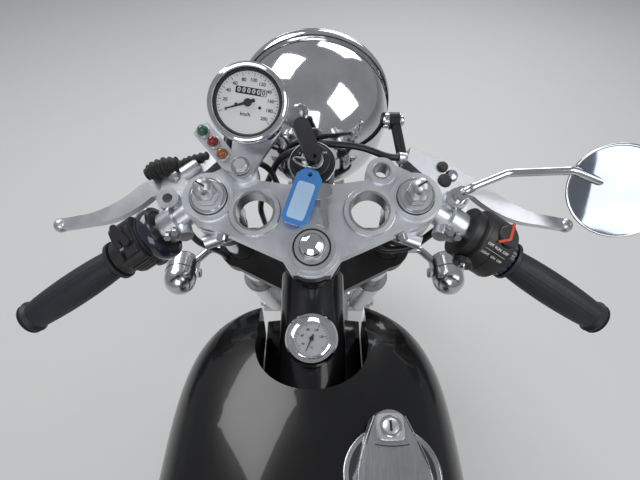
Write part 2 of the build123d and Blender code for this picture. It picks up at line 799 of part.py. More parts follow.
# Front brake: a plate at the left of the hub with its arm, and the axle through the fork
plate_gap = 1.0
brake_arm_root = front_axle + Vector(-58, 40, 38)
brake_arm_tip = front_axle + Vector(-58, 30, 92)
brake_arm_dir = (brake_arm_tip - brake_arm_root).normalized()
with BuildPart() as front_brake:
    hub_from = wheel_table[0][6]
    disc(front_axle + Vector(hub_from - plate_gap, 0, 0), (-1, 0, 0), 66, 12)
    axle_half = fork_x + axle_eye_half + 10
    disc(front_axle + Vector(-axle_half, 0, 0), (1, 0, 0), axle_r, 2 * axle_half)
    for side in (-1, 1):
        disc(front_axle + Vector(side * (fork_x + axle_eye_half + fit), 0, 0), (side, 0, 0), 13, 8)
    rod(5, front_axle + Vector(-46, 40, 38), front_axle + Vector(-62, 40, 38))
    rod(5, brake_arm_root, brake_arm_tip)
finish(front_brake, "front_brake")

# Cables and wires that stay with the steering, and the guides that hold them to the lower clamp
cable_guide_up = lower_clamp_top - 15.0
cable_guide_x = 38.0
stop_end = lever_plane.from_local_coords(Vector(cable_stop[0] - 8 - fit, cable_stop[1], 0))
stop_lead = stop_end - lever_out * 12
wire_root = on_bar(1, housing_from)
wire_in = (wire_root - on_bar(1, grip_from)).normalized()
wire_down = (wire_in * steer_up.dot(wire_in) - steer_up).normalized()
wire_start = wire_root + wire_down * 22 + wire_in * fit
wire_lead = wire_start + wire_in * 13


def to_left(point):
    """The same place on the rider's left."""
    return Vector(-point.X, point.Y, point.Z)


# name, radius, first points, further points in the steering's own measure, last points
cable_table = [
    (
        "front brake", 3.6, [stop_end, stop_lead],
        [(50, 118, -42), (8, 121, -40), (-34, 114, -52), (-66, 86, -130), (-68, 84, -500)],
        [brake_arm_tip + brake_arm_dir * 60, brake_arm_tip + brake_arm_dir * fit],
    ),
    (
        "clutch", 3.2, [to_left(stop_end), to_left(stop_lead)],
        [
            (-46, 100, -50), (-36, 88, -100), (-cable_guide_x, 81, -160),
            (-cable_guide_x, 80, cable_guide_up),
        ], [],
    ),
    (
        "throttle", 4.0, [wire_start, wire_lead],
        [
            (108, 25, -107), (70, 24, -110), (50, 52, -125), (cable_guide_x, 81, -165),
            (cable_guide_x, 80, cable_guide_up),
        ], [],
    ),
    (
        "left switch", 3.6, [to_left(wire_start), to_left(wire_lead)],
        [(-131, 34, -112), (-113, 34, -162), (-112, 34, lower_clamp_top + fit)], [],
    ),
]
boot_rings = 4
boot_in = to_left(lever_out) * -1
with BuildPart() as control_cables:
    for name, radius, first, middle, last in cable_table:
        points = first + [at_stem(*place) for place in middle] + last
        rod(radius, *points, bend=easy_bends(points))
    for ring in range(boot_rings):
        disc(to_left(stop_end) + boot_in * (1 + 3 * ring), boot_in, 7.5, 2)
    for side in (-1, 1):
        disc(at_stem(side * cable_guide_x, 74 + fit, cable_guide_up), steer_forward, 8, 10)
finish(control_cables, "control_cables")

# Frame: head tube and the large backbone that carries the oil
backbone_front = at_stem(0, -14, -66)
backbone_rear = Vector(0, -60, rail_z + 9)
tunnel_half = backbone_r + 7


def on_backbone(y):
    """The backbone's centre at a place along the machine."""
    share = (y - backbone_front.Y) / (backbone_rear.Y - backbone_front.Y)
    return backbone_front + (backbone_rear - backbone_front) * share


with BuildPart() as frame_backbone:
    with BuildSketch(stem.offset(lower_clamp_top + 0.5)):
        Circle(head_tube_r)
    extrude(amount=-lower_clamp_top - 0.5 - clamp_thickness - 5)
    rod(backbone_r, backbone_front, backbone_rear)
    for buffer_y in (150, 10):
        buffer_z = on_backbone(buffer_y).Z
        disc(Vector(fit - tunnel_half, buffer_y, buffer_z), (1, 0, 0), 14, 2 * (tunnel_half - fit))
    with BuildSketch(stem.offset(lower_clamp_top)):
        Circle(head_tube_bore)
    extrude(amount=-lower_clamp_top, mode=Mode.SUBTRACT)
finish(frame_backbone, "frame_backbone")


# Oil thermometer that closes the backbone's filler
gauge_y = 272.0
gauge_r = 22.5
backbone_up = (backbone_front - backbone_rear).cross(Vector(1, 0, 0)) * -1
gauge_seat = on_backbone(gauge_y) + backbone_up.normalized() * (backbone_r + fit)
with BuildPart() as oil_thermometer:
    disc(gauge_seat, backbone_up, 14, 8)
    disc(gauge_seat + backbone_up.normalized() * 6, backbone_up, gauge_r, 12)
    disc(gauge_seat + backbone_up.normalized() * 18, backbone_up * -1, gauge_r - 4, 2, Mode.SUBTRACT)
finish(oil_thermometer, "oil_thermometer")

# Frame: down tube, cradle tubes under the engine and up past the swingarm pivot
down_tube_r = 19.0
cradle_z = 222.0
down_foot = Vector(0, 322, 330)
upright_foot = Vector(cradle_half_width, pivot_y - 12, pivot_z + 30)
upright_top = Vector(52, -48, rail_z - 4)
with BuildPart() as frame_cradle:
    rod(down_tube_r, at_stem(0, -26, -150), down_foot)
    for side in (-1, 1):
        across = side * cradle_half_width
        rod(
            tube_r,
            down_foot + Vector(0, 0, 6),
            Vector(across, 285, cradle_z),
            Vector(across, -165, cradle_z),
            Vector(across, upright_foot.Y, upright_foot.Z),
            Vector(side * upright_top.X, upright_top.Y, upright_top.Z),
            Vector(0, upright_top.Y, upright_top.Z),
            bend=[48, 40, 70, 22],
        )
        disc(Vector(side * (cradle_half_width - tube_r), pivot_y, pivot_z), (side, 0, 0), 24, 2 * tube_r)
        with BuildSketch(Plane(origin=(side * stand_plate_x, 0, 0), x_dir=(0, 1, 0), z_dir=(1, 0, 0))):
            Polygon((-160, 222), (-165, 262), (-222, 256), (-238, 240), (-222, 224), align=None)
        extrude(amount=side * 9)
        disc(Vector(side * stand_plate_x, stand_pivot_y, stand_pivot_z), (-side, 0, 0), 6, 24)
        with BuildSketch(Plane(origin=(side * 28.3, 0, 0), x_dir=(0, 1, 0), z_dir=(1, 0, 0))):
            Polygon((196, 296), (196, 330), (314, 372), (312, 320), align=None)
        extrude(amount=side * 6)
    for cross_y in (60, -120):
        rod(9, Vector(-cradle_half_width, cross_y, cradle_z), Vector(cradle_half_width, cross_y, cradle_z))
    disc(side_stand_root, side_stand_out, 12, side_stand_lug)
    disc(side_stand_root, side_stand_out, side_stand_pin_r, side_stand_lug + side_stand_eye - 2)
    add(frame_backbone.part, mode=Mode.SUBTRACT)
    with BuildSketch(stem.offset(lower_clamp_top)):
        Circle(head_tube_bore)
    extrude(amount=-lower_clamp_top, mode=Mode.SUBTRACT)
finish(frame_cradle, "frame_cradle")

# Frame: seat rails, their loop and stays, and the studs of the rear dampers
rail_r = 11.0
rail_end = -772.0
damper_x = 130.0
damper_top = Vector(0, rear_axle.Y + 105, rail_z - 36)
damper_foot = rear_axle + Vector(0, 40, 30)
stud_r = 7.0
guard_bar_y = -640.0
guard_bar_r = 7.0
with BuildPart() as frame_rear:
    for side in (-1, 1):
        across = side * rail_half_width
        rod(
            rail_r,
            Vector(side * 30, -30, rail_z),
            Vector(across, -140, rail_z),
            Vector(across, -690, rail_z),
            Vector(side * 50, rail_end, rail_z),
            Vector(0, rail_end, rail_z),
            bend=[60, 60, 30],
        )
        rod(9, Vector(side * cradle_half_width, pivot_y - 8, 420), Vector(across, -560, rail_z))
        disc(damper_top + Vector(across, 0, 0), (side, 0, 0), stud_r, damper_x + 18 - rail_half_width)
        rod(8, Vector(across, damper_top.Y, rail_z), Vector(across, damper_top.Y, damper_top.Z - 4))
    rod(9, Vector(-rail_half_width, -300, rail_z), Vector(rail_half_width, -300, rail_z))
    disc(Vector(-rail_half_width, guard_bar_y, rail_z), (1, 0, 0), guard_bar_r, 2 * rail_half_width)
    add(frame_backbone.part, mode=Mode.SUBTRACT)
    add(frame_cradle.part, mode=Mode.SUBTRACT)
finish(frame_rear, "frame_rear")

# Swingarm: pivot tube between the frame's plates, and two arms that widen round the tyre
arm_x = 102.0
arm_r = 14.0
with BuildPart() as swingarm:
    rod(20, Vector(-84, pivot_y, pivot_z), Vector(84, pivot_y, pivot_z))
    for side in (-1, 1):
        rod(
            arm_r,
            Vector(side * 50, pivot_y, pivot_z),
            Vector(side * 62, pivot_y - 50, pivot_z),
            Vector(side * arm_x, pivot_y - 150, pivot_z),
            rear_axle + Vector(side * arm_x, -20, 0),
            bend=[40, 60],
        )
        disc(Vector(side * (arm_x - 12), damper_foot.Y, damper_foot.Z), (side, 0, 0), 18, 26)
        disc(Vector(side * arm_x, damper_foot.Y, damper_foot.Z), (side, 0, 0), stud_r, damper_x + 18 - arm_x)
        disc(rear_axle + Vector(side * (arm_x - 14), 0, 0), (side, 0, 0), 20, 28)
    rod(12, Vector(-arm_x, pivot_y - 150, pivot_z), Vector(arm_x, pivot_y - 150, pivot_z))
    disc(rear_axle + Vector(-arm_x - 20, 0, 0), (1, 0, 0), axle_r + fit, 2 * arm_x + 40, Mode.SUBTRACT)
finish(swingarm, "swingarm")

# Rear dampers: eyes on the studs, and a coil spring's outline round the rod
damper_run = damper_top - damper_foot
with BuildPart() as rear_dampers:
    for side in (-1, 1):
        foot = damper_foot + Vector(side * damper_x, 0, 0)
        head = damper_top + Vector(side * damper_x, 0, 0)
        along = damper_run.normalized()
        disc(foot - Vector(12, 0, 0), (1, 0, 0), 15, 24)
        disc(head - Vector(12, 0, 0), (1, 0, 0), 15, 24)
        rod(11, foot + along * 10, head - along * 10)
        disc(foot + along * 40, along, 28, 8)
        disc(head - along * 42, along, 28, 14)
        disc(foot + along * 48, along, 20, 70)
        coils = 9
        coil_from = 52
        coil_step = (damper_run.length - 100) / coils
        outward = Vector(side, 0, 0)
        with BuildSketch(Plane(origin=foot, x_dir=outward, z_dir=outward.cross(along))):
            for turn in range(coils):
                with Locations((23, coil_from + (turn + 0.5) * coil_step)):
                    RegularPolygon(5.0, 6)
            with Locations((16, coil_from + 8 + (damper_run.length - 100) / 2)):
                Rectangle(9, damper_run.length - 96)
        revolve(axis=Axis(foot, along))
        disc(foot - Vector(14, 0, 0), (1, 0, 0), stud_r + fit, 28, Mode.SUBTRACT)
        disc(head - Vector(14, 0, 0), (1, 0, 0), stud_r + fit, 28, Mode.SUBTRACT)
finish(rear_dampers, "rear_dampers")

# Crankcase with its side covers; the output shaft carries the small sprocket
case_half = 55.0
shaft = Vector(0, -108, 350)
front_sprocket_r = 33.0
with BuildPart() as crankcase:
    with BuildSketch(Plane.YZ):
        with BuildLine():
            Polyline(
                (170, 258), (184, 330), (160, 430), (128, 470), (-30, 470), (-100, 436),
                (-150, 400), (-160, 330), (-140, 262), (-60, 237), (110, 237), close=True,
            )
        make_face()
    extrude(amount=case_half, both=True)
    fillet(crankcase.edges().filter_by(Axis.X), radius=10)
    with BuildSketch(Plane.YZ.offset(case_half)):
        with Locations((-38, 342)):
            Circle(88)
        with Locations((80, 336)):
            Circle(62)
        with Locations((30, 336)):
            Rectangle(110, 110)
    extrude(amount=46)
    fillet(crankcase.faces().sort_by(Axis.X)[-1].edges(), radius=8)
    disc(Vector(100, -88, 346), (1, 0, 0), 17, 12)
    with BuildSketch(Plane.YZ.offset(-case_half)):
        with Locations((70, 340)):
            Circle(76)
    extrude(amount=-50)
    fillet(crankcase.faces().sort_by(Axis.X)[0].edges(), radius=10)
    with BuildSketch(Plane.YZ.offset(-85)):
        with Locations((-30, 345)):
            Rectangle(180, 108)
        with Locations((shaft.Y, shaft.Z)):
            Circle(56)
    extrude(amount=-14)
    disc(shaft + Vector(-case_half, 0, 0), (-1, 0, 0), 15, 32)
    disc(shaft + Vector(sprocket_x + 3, 0, 0), (-1, 0, 0), front_sprocket_r, 6)
    with BuildSketch(Plane.YZ):
        with Locations((198, 313)):
            RectangleRounded(40, 34, 8)
    extrude(amount=28, both=True)
    for cross_y in (60, -120):
        with BuildSketch(Plane.XY.offset(cradle_z + 9 + fit)):
            with Locations((0, cross_y)):
                Rectangle(70, 26)
        extrude(amount=34)
finish(crankcase, "crankcase")

# Cylinder and head: a stack of cooling fins round the barrel, ports fore and aft
bore_up = Vector(0, math.sin(math.radians(bore_tilt)), math.cos(math.radians(bore_tilt)))
bore = Plane(origin=(0, 60, 470 + fit), x_dir=(1, 0, 0), z_dir=bore_up)
fin_from = 14.0
head_height = fin_from + fin_count * fin_pitch
with BuildPart() as cylinder:
    with BuildSketch(Plane.XY.offset(470 + fit)):
        with Locations((0, 60)):
            RectangleRounded(124, 128, 14)
    extrude(amount=10)
    with BuildSketch(bore.offset(9)):
        Circle(barrel_r)
    extrude(amount=head_height + 7)
    for step in range(fin_count + 4):
        wide = 184 if step < fin_count - 3 else 200
        deep = 170 if step < fin_count - 3 else 186
        with BuildSketch(bore.offset(fin_from + step * fin_pitch)):
            RectangleRounded(wide, deep, 34)
        extrude(amount=fin_thickness)
    with BuildSketch(bore.offset(head_height)):
        RectangleRounded(112, 136, 16)
    extrude(amount=66)
    for port in (1, -1):
        port_seat = bore.from_local_coords(Vector(0, port * 40, 118))
        disc(port_seat, bore.y_dir * port, 27, 66)
finish(cylinder, "cylinder")

# Rocker cover on the head, with two tappet caps and the spark plug
with BuildPart() as rocker_cover:
    cover = bore.offset(head_height + 66 + fit)
    with BuildSketch(cover):
        RectangleRounded(108, 132, 16)
    extrude(amount=22)
    fillet(rocker_cover.faces().sort_by(Axis.Z)[-1].edges(), radius=7)
    for port in (1, -1):
        cap_seat = bore.from_local_coords(Vector(0, port * 42, head_height + 84))
        disc(cap_seat, bore_up, 20, 16)
finish(rocker_cover, "rocker_cover")

# Oil hoses from the foot of the down tube to the crankcase, and the return from the head
with BuildPart() as oil_lines:
    for side in (-1, 1):
        feed = [
            Vector(side * 8, down_foot.Y - 11.4, 400),
            Vector(side * 9, down_foot.Y - 34, 400),
            Vector(side * 16, 246, 358),
            Vector(side * 16, 181.8, 347),
        ]
        rod(5.5, *feed, bend=easy_bends(feed))
finish(oil_lines, "oil_lines")

# Carburettor behind the head, with its float bowl and open filter
intake = bore.from_local_coords(Vector(0, -106 - fit, 118))
back = bore.y_dir * -1
with BuildPart() as carburettor:
    disc(intake, back, 25, 26)
    disc(intake + back * 24, back, 30, 52)
    with BuildSketch(Plane(origin=intake + back * 50, x_dir=(1, 0, 0), z_dir=bore_up)):
        RectangleRounded(54, 48, 10)
    extrude(amount=-62)
    with BuildSketch(Plane(origin=intake + back * 50, x_dir=(1, 0, 0), z_dir=bore_up)):
        Circle(21)
    extrude(amount=58)
    disc(intake + back * 76, back, 27, 10)
    with BuildSketch(facing(intake + back * 84, back)):
        Circle(40)
    extrude(amount=62, taper=5)
finish(carburettor, "carburettor")

# Exhaust header: one pipe from the front port, down beside the down tube and back
header_r = 19.0
port_mouth = bore.from_local_coords(Vector(0, 106 + fit, 118))
header_end = Vector(158, -140, 238)
muffler_end = Vector(186, -720, 318)
muffler_dir = (muffler_end - header_end).normalized()
with BuildPart() as exhaust_header:
    disc(port_mouth, bore.y_dir, 30, 10)
    rod(
        header_r,
        port_mouth + bore.y_dir * 6,
        port_mouth + bore.y_dir * 36 + Vector(8, 0, 0),
        Vector(84, 300, 480),
        Vector(132, 322, 300),
        Vector(154, 236, 224),
        header_end - muffler_dir * 80,
        header_end,
        bend=[30, 60, 60, 55, 200],
    )
finish(exhaust_header, "exhaust_header")

# Muffler: a long cone that widens and closes again, on a hanger from the frame
with BuildPart() as muffler:
    along = muffler_dir
    length = (muffler_end - header_end).length
    start = header_end + along * fit
    with BuildSketch(Plane(origin=start, x_dir=along, z_dir=(Vector(0, 0, 1).cross(along)))):
        with BuildLine():
            Polyline(
                (0, 0), (0, 22), (24, 23), (90, 44), (430, 47), (length - 20, 36), (length - 20, 0),
                close=True,
            )
        make_face()
    revolve(axis=Axis(start, along))
    disc(start + along * (length - 14), along * -1, 24, 70, Mode.SUBTRACT)
finish(muffler, "muffler")

# Fuel tank: sections from nose to tail, a slot in the nose and a tunnel over the backbone
# place along Y, half width at the base, half width at the widest, half width at the shoulder, and
# heights over the backbone's centre of the base, of the widest, of the shoulder, of the crown
tank_table = [
    (320, 52, 62, 46, -63, -37, -11, -1),
    (284, 92, 112, 86, -80, -40, 6, 24),
    (228, 110, 128, 96, -76, -34, 28, 52),
    (140, 114, 132, 98, -55, -11, 55, 82),
    (20, 110, 128, 92, -18, 20, 80, 106),
    (-110, 90, 106, 76, 27, 55, 97, 119),
    (-205, 62, 72, 54, 64, 82, 106, 116),
]
slot_half = 51.0
slot_foot = 214.0
with BuildPart() as fuel_tank:
    for y, base, widest, shoulder, *heights in tank_table:
        z_base, z_wide, z_shoulder, z_crown = [on_backbone(y).Z + height for height in heights]
        with BuildSketch(Plane(origin=(0, y, 0), x_dir=(-1, 0, 0), z_dir=(0, 1, 0))):
            with BuildLine():
                Line((-base, z_base), (base, z_base))
                ThreePointArc((base, z_base), (widest, z_wide), (shoulder, z_shoulder))
                ThreePointArc((shoulder, z_shoulder), (0, z_crown), (-shoulder, z_shoulder))
                ThreePointArc((-shoulder, z_shoulder), (-widest, z_wide), (-base, z_base))
            make_face()
    loft()
    with BuildSketch(Plane.XY.offset(700)):
        with Locations((0, slot_foot + slot_half)):
            Circle(slot_half)
        with Locations((0, slot_foot + slot_half + 60)):
            Rectangle(2 * slot_half, 120)
    extrude(amount=300, mode=Mode.SUBTRACT)
    tunnel_y = (slot_foot + 22, backbone_rear.Y - 16)
    with BuildSketch(Plane.YZ.offset(-tunnel_half)):
        Polygon(
            (tunnel_y[0], 700),
            (tunnel_y[0], on_backbone(tunnel_y[0]).Z + backbone_r + 8),
            (tunnel_y[1], on_backbone(tunnel_y[1]).Z + backbone_r + 8),
            (tunnel_y[1], 700),
            align=None,
        )
    extrude(amount=2 * tunnel_half, mode=Mode.SUBTRACT)
finish(fuel_tank, "fuel_tank")

# Fuel cap: a lid on a flange at the right of the crown, hinged behind on a cross pin
lid_x = 60.0
lid_front = 196.0
lid_rear = 104.0
lid_z = on_backbone(148).Z + 79.5
lid_thickness = 12.0
lid_hinge = Vector(lid_x, lid_rear - 6, lid_z + 3)
knuckle_r = 4.5
knuckle_half = 10.0
hinge_pin_r = 2.0
with BuildPart() as cap_flange:
    with BuildSketch(Plane.XY.offset(lid_z - 22)):
        with Locations((lid_x, 148)):
            Circle(36)
    extrude(amount=22 - fit)
    with BuildSketch(Plane.XY.offset(lid_z - 22)):
        with Locations((lid_x, lid_rear + 4)):
            Rectangle(2 * knuckle_half + 14, 32)
    extrude(amount=19)
    for side in (-1, 1):
        ear = lid_hinge + Vector(side * (knuckle_half + 1), 0, 0)
        disc(ear, (side, 0, 0), knuckle_r, 6)
        with BuildSketch(Plane.XY.offset(lid_z - 10)):
            with Locations((ear.X + side * 3, ear.Y)):
                Rectangle(6, 2 * knuckle_r)
        extrude(amount=13)
    disc(lid_hinge - Vector(knuckle_half + 4, 0, 0), (1, 0, 0), hinge_pin_r, 2 * knuckle_half + 8)
    add(fuel_tank.part, mode=Mode.SUBTRACT)
finish(cap_flange, "cap_flange")
with BuildPart() as fuel_cap:
    with BuildSketch(Plane.XY.offset(lid_z)):
        with BuildLine():
            Polyline(
                (lid_x - 30, lid_rear), (lid_x + 30, lid_rear), (lid_x + 30, 146), (lid_x + 15, lid_front - 8)
            )
            ThreePointArc((lid_x + 15, lid_front - 8), (lid_x, lid_front), (lid_x - 15, lid_front - 8))
            Polyline((lid_x - 15, lid_front - 8), (lid_x - 30, 146), (lid_x - 30, lid_rear))
        make_face()
    extrude(amount=lid_thickness, taper=20)
    disc(Vector(lid_x, lid_front - 18, lid_z + lid_thickness - 1), (0, 0, 1), 8, 3)
    disc(lid_hinge - Vector(knuckle_half, 0, 0), (1, 0, 0), knuckle_r, 2 * knuckle_half)
    with BuildSketch(Plane.XY.offset(lid_hinge.Z - 2)):
        with Locations((lid_x, lid_rear + 1)):
            Rectangle(2 * knuckle_half, 14)
    extrude(amount=6)
    pin_end = lid_hinge - Vector(knuckle_half + 1, 0, 0)
    disc(pin_end, (1, 0, 0), hinge_pin_r + fit, 2 * knuckle_half + 2, Mode.SUBTRACT)
finish(fuel_cap, "fuel_cap")

# Seat pad and the tail cowl behind it
seat_front = -212.0
seat_rear = -500.0
seat_base = rail_z + rail_r + fit
with BuildPart() as seat_pad:
    with BuildSketch(Plane.XY.offset(seat_base)):
        with BuildLine():
            Polyline(
                (-66, seat_front), (66, seat_front), (112, seat_front - 110), (118, seat_rear),
                (-118, seat_rear), (-112, seat_front - 110), close=True,
            )
        make_face()
    extrude(amount=64)
    fillet(seat_pad.edges().filter_by(Axis.Z), radius=24)
    fillet(seat_pad.faces().sort_by(Axis.Z)[-1].edges(), radius=18)
finish(seat_pad, "seat_pad")

# place along Y, half width, height of the crown over the base
cowl_rear = -800.0
cowl_table = [
    (seat_rear - fit, 116, 149),
    (-620, 106, 135),
    (-740, 76, 89),
    (cowl_rear, 44, 53),
]
with BuildPart() as tail_cowl:
    for y, half, height in cowl_table:
        low = seat_base
        high = seat_base + height
        with BuildSketch(Plane(origin=(0, y, 0), x_dir=(-1, 0, 0), z_dir=(0, 1, 0))):
            with BuildLine():
                Line((-half, low), (half, low))
                ThreePointArc((half, low), (half * 0.92, (low + high) / 2), (half * 0.6, high - 12))
                ThreePointArc((half * 0.6, high - 12), (0, high), (-half * 0.6, high - 12))
                ThreePointArc((-half * 0.6, high - 12), (-half * 0.92, (low + high) / 2), (-half, low))
            make_face()
    loft()
finish(tail_cowl, "tail_cowl")

# Side covers: rounded triangles outside the uprights
peg_seat = upright_foot + (upright_top - upright_foot) * 0.74
with BuildPart() as side_covers:
    for side in (-1, 1):
        with BuildSketch(Plane.YZ.offset(side * 112)) as face:
            with BuildLine():
                Polyline((-30, 704), (-226, 692), (-206, 560), (-120, 512), close=True)
            make_face()
            fillet(face.vertices(), radius=22)
        extrude(amount=side * 7, taper=20)
        peg_root = Vector(side * (peg_seat.X + tube_r + 0.9), peg_seat.Y, peg_seat.Z)
        disc(peg_root, (side, 0, 0), 5, 112.5 - abs(peg_root.X))
finish(side_covers, "side_covers")

# Rear mudguard, tail lamp, rear signals and the bare plate bracket
with BuildPart() as rear_mudguard:
    guard_shell(rear_axle, rear_guard_r, 62, -52, 50)
    crown_r = rear_guard_r + guard_rise + guard_wall / 2
    for post_y, tube_half in ((guard_bar_y, guard_bar_r), (rail_end, rail_r)):
        crown_z = rear_axle.Z + math.sqrt(crown_r**2 - (post_y - rear_axle.Y) ** 2)
        disc(Vector(0, post_y, crown_z), (0, 0, 1), 10, rail_z - tube_half - fit - crown_z)
finish(rear_mudguard, "rear_mudguard")

lamp_z = seat_base + 32
with BuildPart() as tail_lamp:
    disc(Vector(0, cowl_rear - fit, lamp_z), (0, -1, 0), 16, 20)
    disc(Vector(0, cowl_rear - 18, lamp_z), (0, -1, 0), 34, 14)
    disc(Vector(0, cowl_rear - 32, lamp_z), (0, -1, 0), 31, 14)
finish(tail_lamp, "tail_lamp")

with BuildPart() as rear_signals:
    for side in (-1, 1):
        stem_root = rail_half_width + rail_r + fit
        rod(5, Vector(side * stem_root, -660, rail_z), Vector(side * 150, -660, rail_z))
        signal_barrel(Vector(side * 154, -660, rail_z), -1)
finish(rear_signals, "rear_signals")

plate_hole_r = 3.5
plate_hole_spacing = 140.0
plate_face_y = -1000.0
with BuildPart() as plate_bracket:
    with BuildSketch(Plane(origin=(0, plate_face_y, 610), x_dir=(1, 0, 0), z_dir=(0, -1, 0))):
        RectangleRounded(170, 90, 8)
        with Locations((-plate_hole_spacing / 2, 20), (plate_hole_spacing / 2, 20)):
            Circle(plate_hole_r, mode=Mode.SUBTRACT)
    extrude(amount=-3)
    for side in (-1, 1):
        rod(
            6,
            Vector(side * 24, rail_end - rail_r - fit, rail_z),
            Vector(side * 24, -815, rail_z),
            Vector(side * 24, plate_face_y + 4.5, 637),
            bend=20,
        )
finish(plate_bracket, "plate_bracket")

# Footrests on plates outside the cradle
peg_y = -60.0
peg_z = 300.0
plate_x = cradle_half_width + tube_r + fit
with BuildPart() as footrests:
    for side in (-1, 1):
        with BuildSketch(Plane.YZ.offset(side * plate_x)) as face:
            Polygon((-100, 212), (-30, 212), (-40, 318), (-78, 318), align=None)
            fillet(face.vertices(), radius=8)
        extrude(amount=side * 6)
        rod(8, Vector(side * (plate_x + 4), peg_y, peg_z), Vector(side * (plate_x + 30), peg_y, peg_z))
        rod(12, Vector(side * (plate_x + 26), peg_y, peg_z), Vector(side * (plate_x + 104), peg_y, peg_z))
finish(footrests, "footrests")

# Gear pedal on the left, brake pedal and kick starter on the right
with BuildPart() as foot_levers:
    for side in (-1, 1):
        rod(
            6,
            Vector(side * (plate_x + 6 + fit), -62, 262),
            Vector(side * (plate_x + 16), -62, 262),
            Vector(side * (plate_x + 20), 60, 268),
            Vector(side * (plate_x + 22), 112, 284),
            Vector(side * (plate_x + 62), 112, 284),
            bend=[6, 60, 10],
        )
    kick_seat = Vector(112 + fit, -88, 346)
    rod(7, kick_seat, Vector(128, -88, 346), Vector(132, -70, 510), Vector(176, -70, 512), bend=9)
finish(foot_levers, "foot_levers")

# Drive chain on the left: a closed band round both sprockets
chain_half = 8.0
roller_r = 5.1
pitch_rear = sprocket_r + roller_r + 0.6
pitch_front = front_sprocket_r + roller_r + 0.6
with BuildPart() as drive_chain:
    span = rear_axle - shaft
    reach = math.hypot(span.Y, span.Z)
    tilt = math.atan2(span.Z, -span.Y)
    lean = math.asin((pitch_rear - pitch_front) / reach)
    for grow, mode in ((roller_r, Mode.ADD), (-roller_r, Mode.SUBTRACT)):
        ends = []
        for flip in (1, -1):
            turn = math.pi / 2 * flip + lean * flip
            for centre, radius in ((shaft, pitch_front + grow), (rear_axle, pitch_rear + grow)):
                angle = math.pi - tilt - turn
                ends.append((centre.Y + radius * math.cos(angle), centre.Z + radius * math.sin(angle)))
        with BuildSketch(Plane.YZ.offset(sprocket_x - chain_half)):
            Polygon(ends[0], ends[1], ends[3], ends[2], align=None)
            with Locations((shaft.Y, shaft.Z)):
                Circle(pitch_front + grow)
            with Locations((rear_axle.Y, rear_axle.Z)):
                Circle(pitch_rear + grow)
        extrude(amount=2 * chain_half, mode=mode)
finish(drive_chain, "drive_chain")

# Rear brake plate and axle
with BuildPart() as rear_brake:
    hub_to = wheel_table[1][7]
    disc(rear_axle + Vector(hub_to + plate_gap, 0, 0), (1, 0, 0), 72, 14)
    disc(rear_axle + Vector(-arm_x - 26, 0, 0), (1, 0, 0), axle_r, 2 * arm_x + 52)
    spacer_from = hub_to + plate_gap + 10
    disc(rear_axle + Vector(spacer_from, 0, 0), (1, 0, 0), 16, arm_x - 14 - fit - spacer_from)
    for side in (-1, 1):
        disc(rear_axle + Vector(side * (arm_x + 14 + fit), 0, 0), (side, 0, 0), 15, 9)
finish(rear_brake, "rear_brake")

# Centre stand: two legs on a pivot tube, a cross bar and flat feet
stand_foot = Vector(150, -188, 0)
stand_tube_half = stand_plate_x - running_gap
stand_leg_x = 54.0
with BuildPart() as centre_stand:
    pivot = Vector(0, stand_pivot_y, stand_pivot_z)
    rod(12, pivot - Vector(stand_tube_half, 0, 0), pivot + Vector(stand_tube_half, 0, 0))
    for side in (-1, 1):
        top = pivot + Vector(side * stand_leg_x, 0, 0)
        foot = Vector(side * stand_foot.X, stand_foot.Y, 4.5)
        rod(10, top, foot)
        with BuildSketch(Plane.XY):
            with Locations((foot.X, foot.Y)):
                RectangleRounded(34, 64, 10)
        extrude(amount=8)
    bar_end = top + (foot - top) * 0.36
    rod(8, Vector(-bar_end.X, bar_end.Y, bar_end.Z), bar_end)
    tube_end = pivot - Vector(stand_tube_half + 1, 0, 0)
    disc(tube_end, (1, 0, 0), 6 + fit, 2 * stand_tube_half + 2, Mode.SUBTRACT)
finish(centre_stand, "centre_stand")

# Side stand, folded back along the left; its pin leans so that it swings down and out
side_stand_leg = Vector(-0.12, -0.99, -0.04)
side_stand_length = 215.0
with BuildPart() as side_stand:
    eye = side_stand_root + side_stand_out * (side_stand_lug + fit)
    half_eye = side_stand_out * (side_stand_eye / 2)
    foot = eye + half_eye + side_stand_leg * side_stand_length
    disc(eye, side_stand_out, 15, side_stand_eye)
    rod(8.5, eye + half_eye, foot)
    with BuildSketch(facing(foot - Vector(0, 0, 5), (0, 0, 1))):
        Ellipse(17, 12)
    extrude(amount=8)
    disc(eye - side_stand_out * 2, side_stand_out, side_stand_pin_r + fit, side_stand_eye + 8, Mode.SUBTRACT)
finish(side_stand, "side_stand")
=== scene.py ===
"""A cafe racer motorcycle: its finishes, soft parts and fine detail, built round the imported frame.

Metres. +Y is forward, +X is the rider's right, +Z is up and the floor is Z = 0.
"""

import json
import logging
import math
from dataclasses import dataclass, field
from enum import Enum

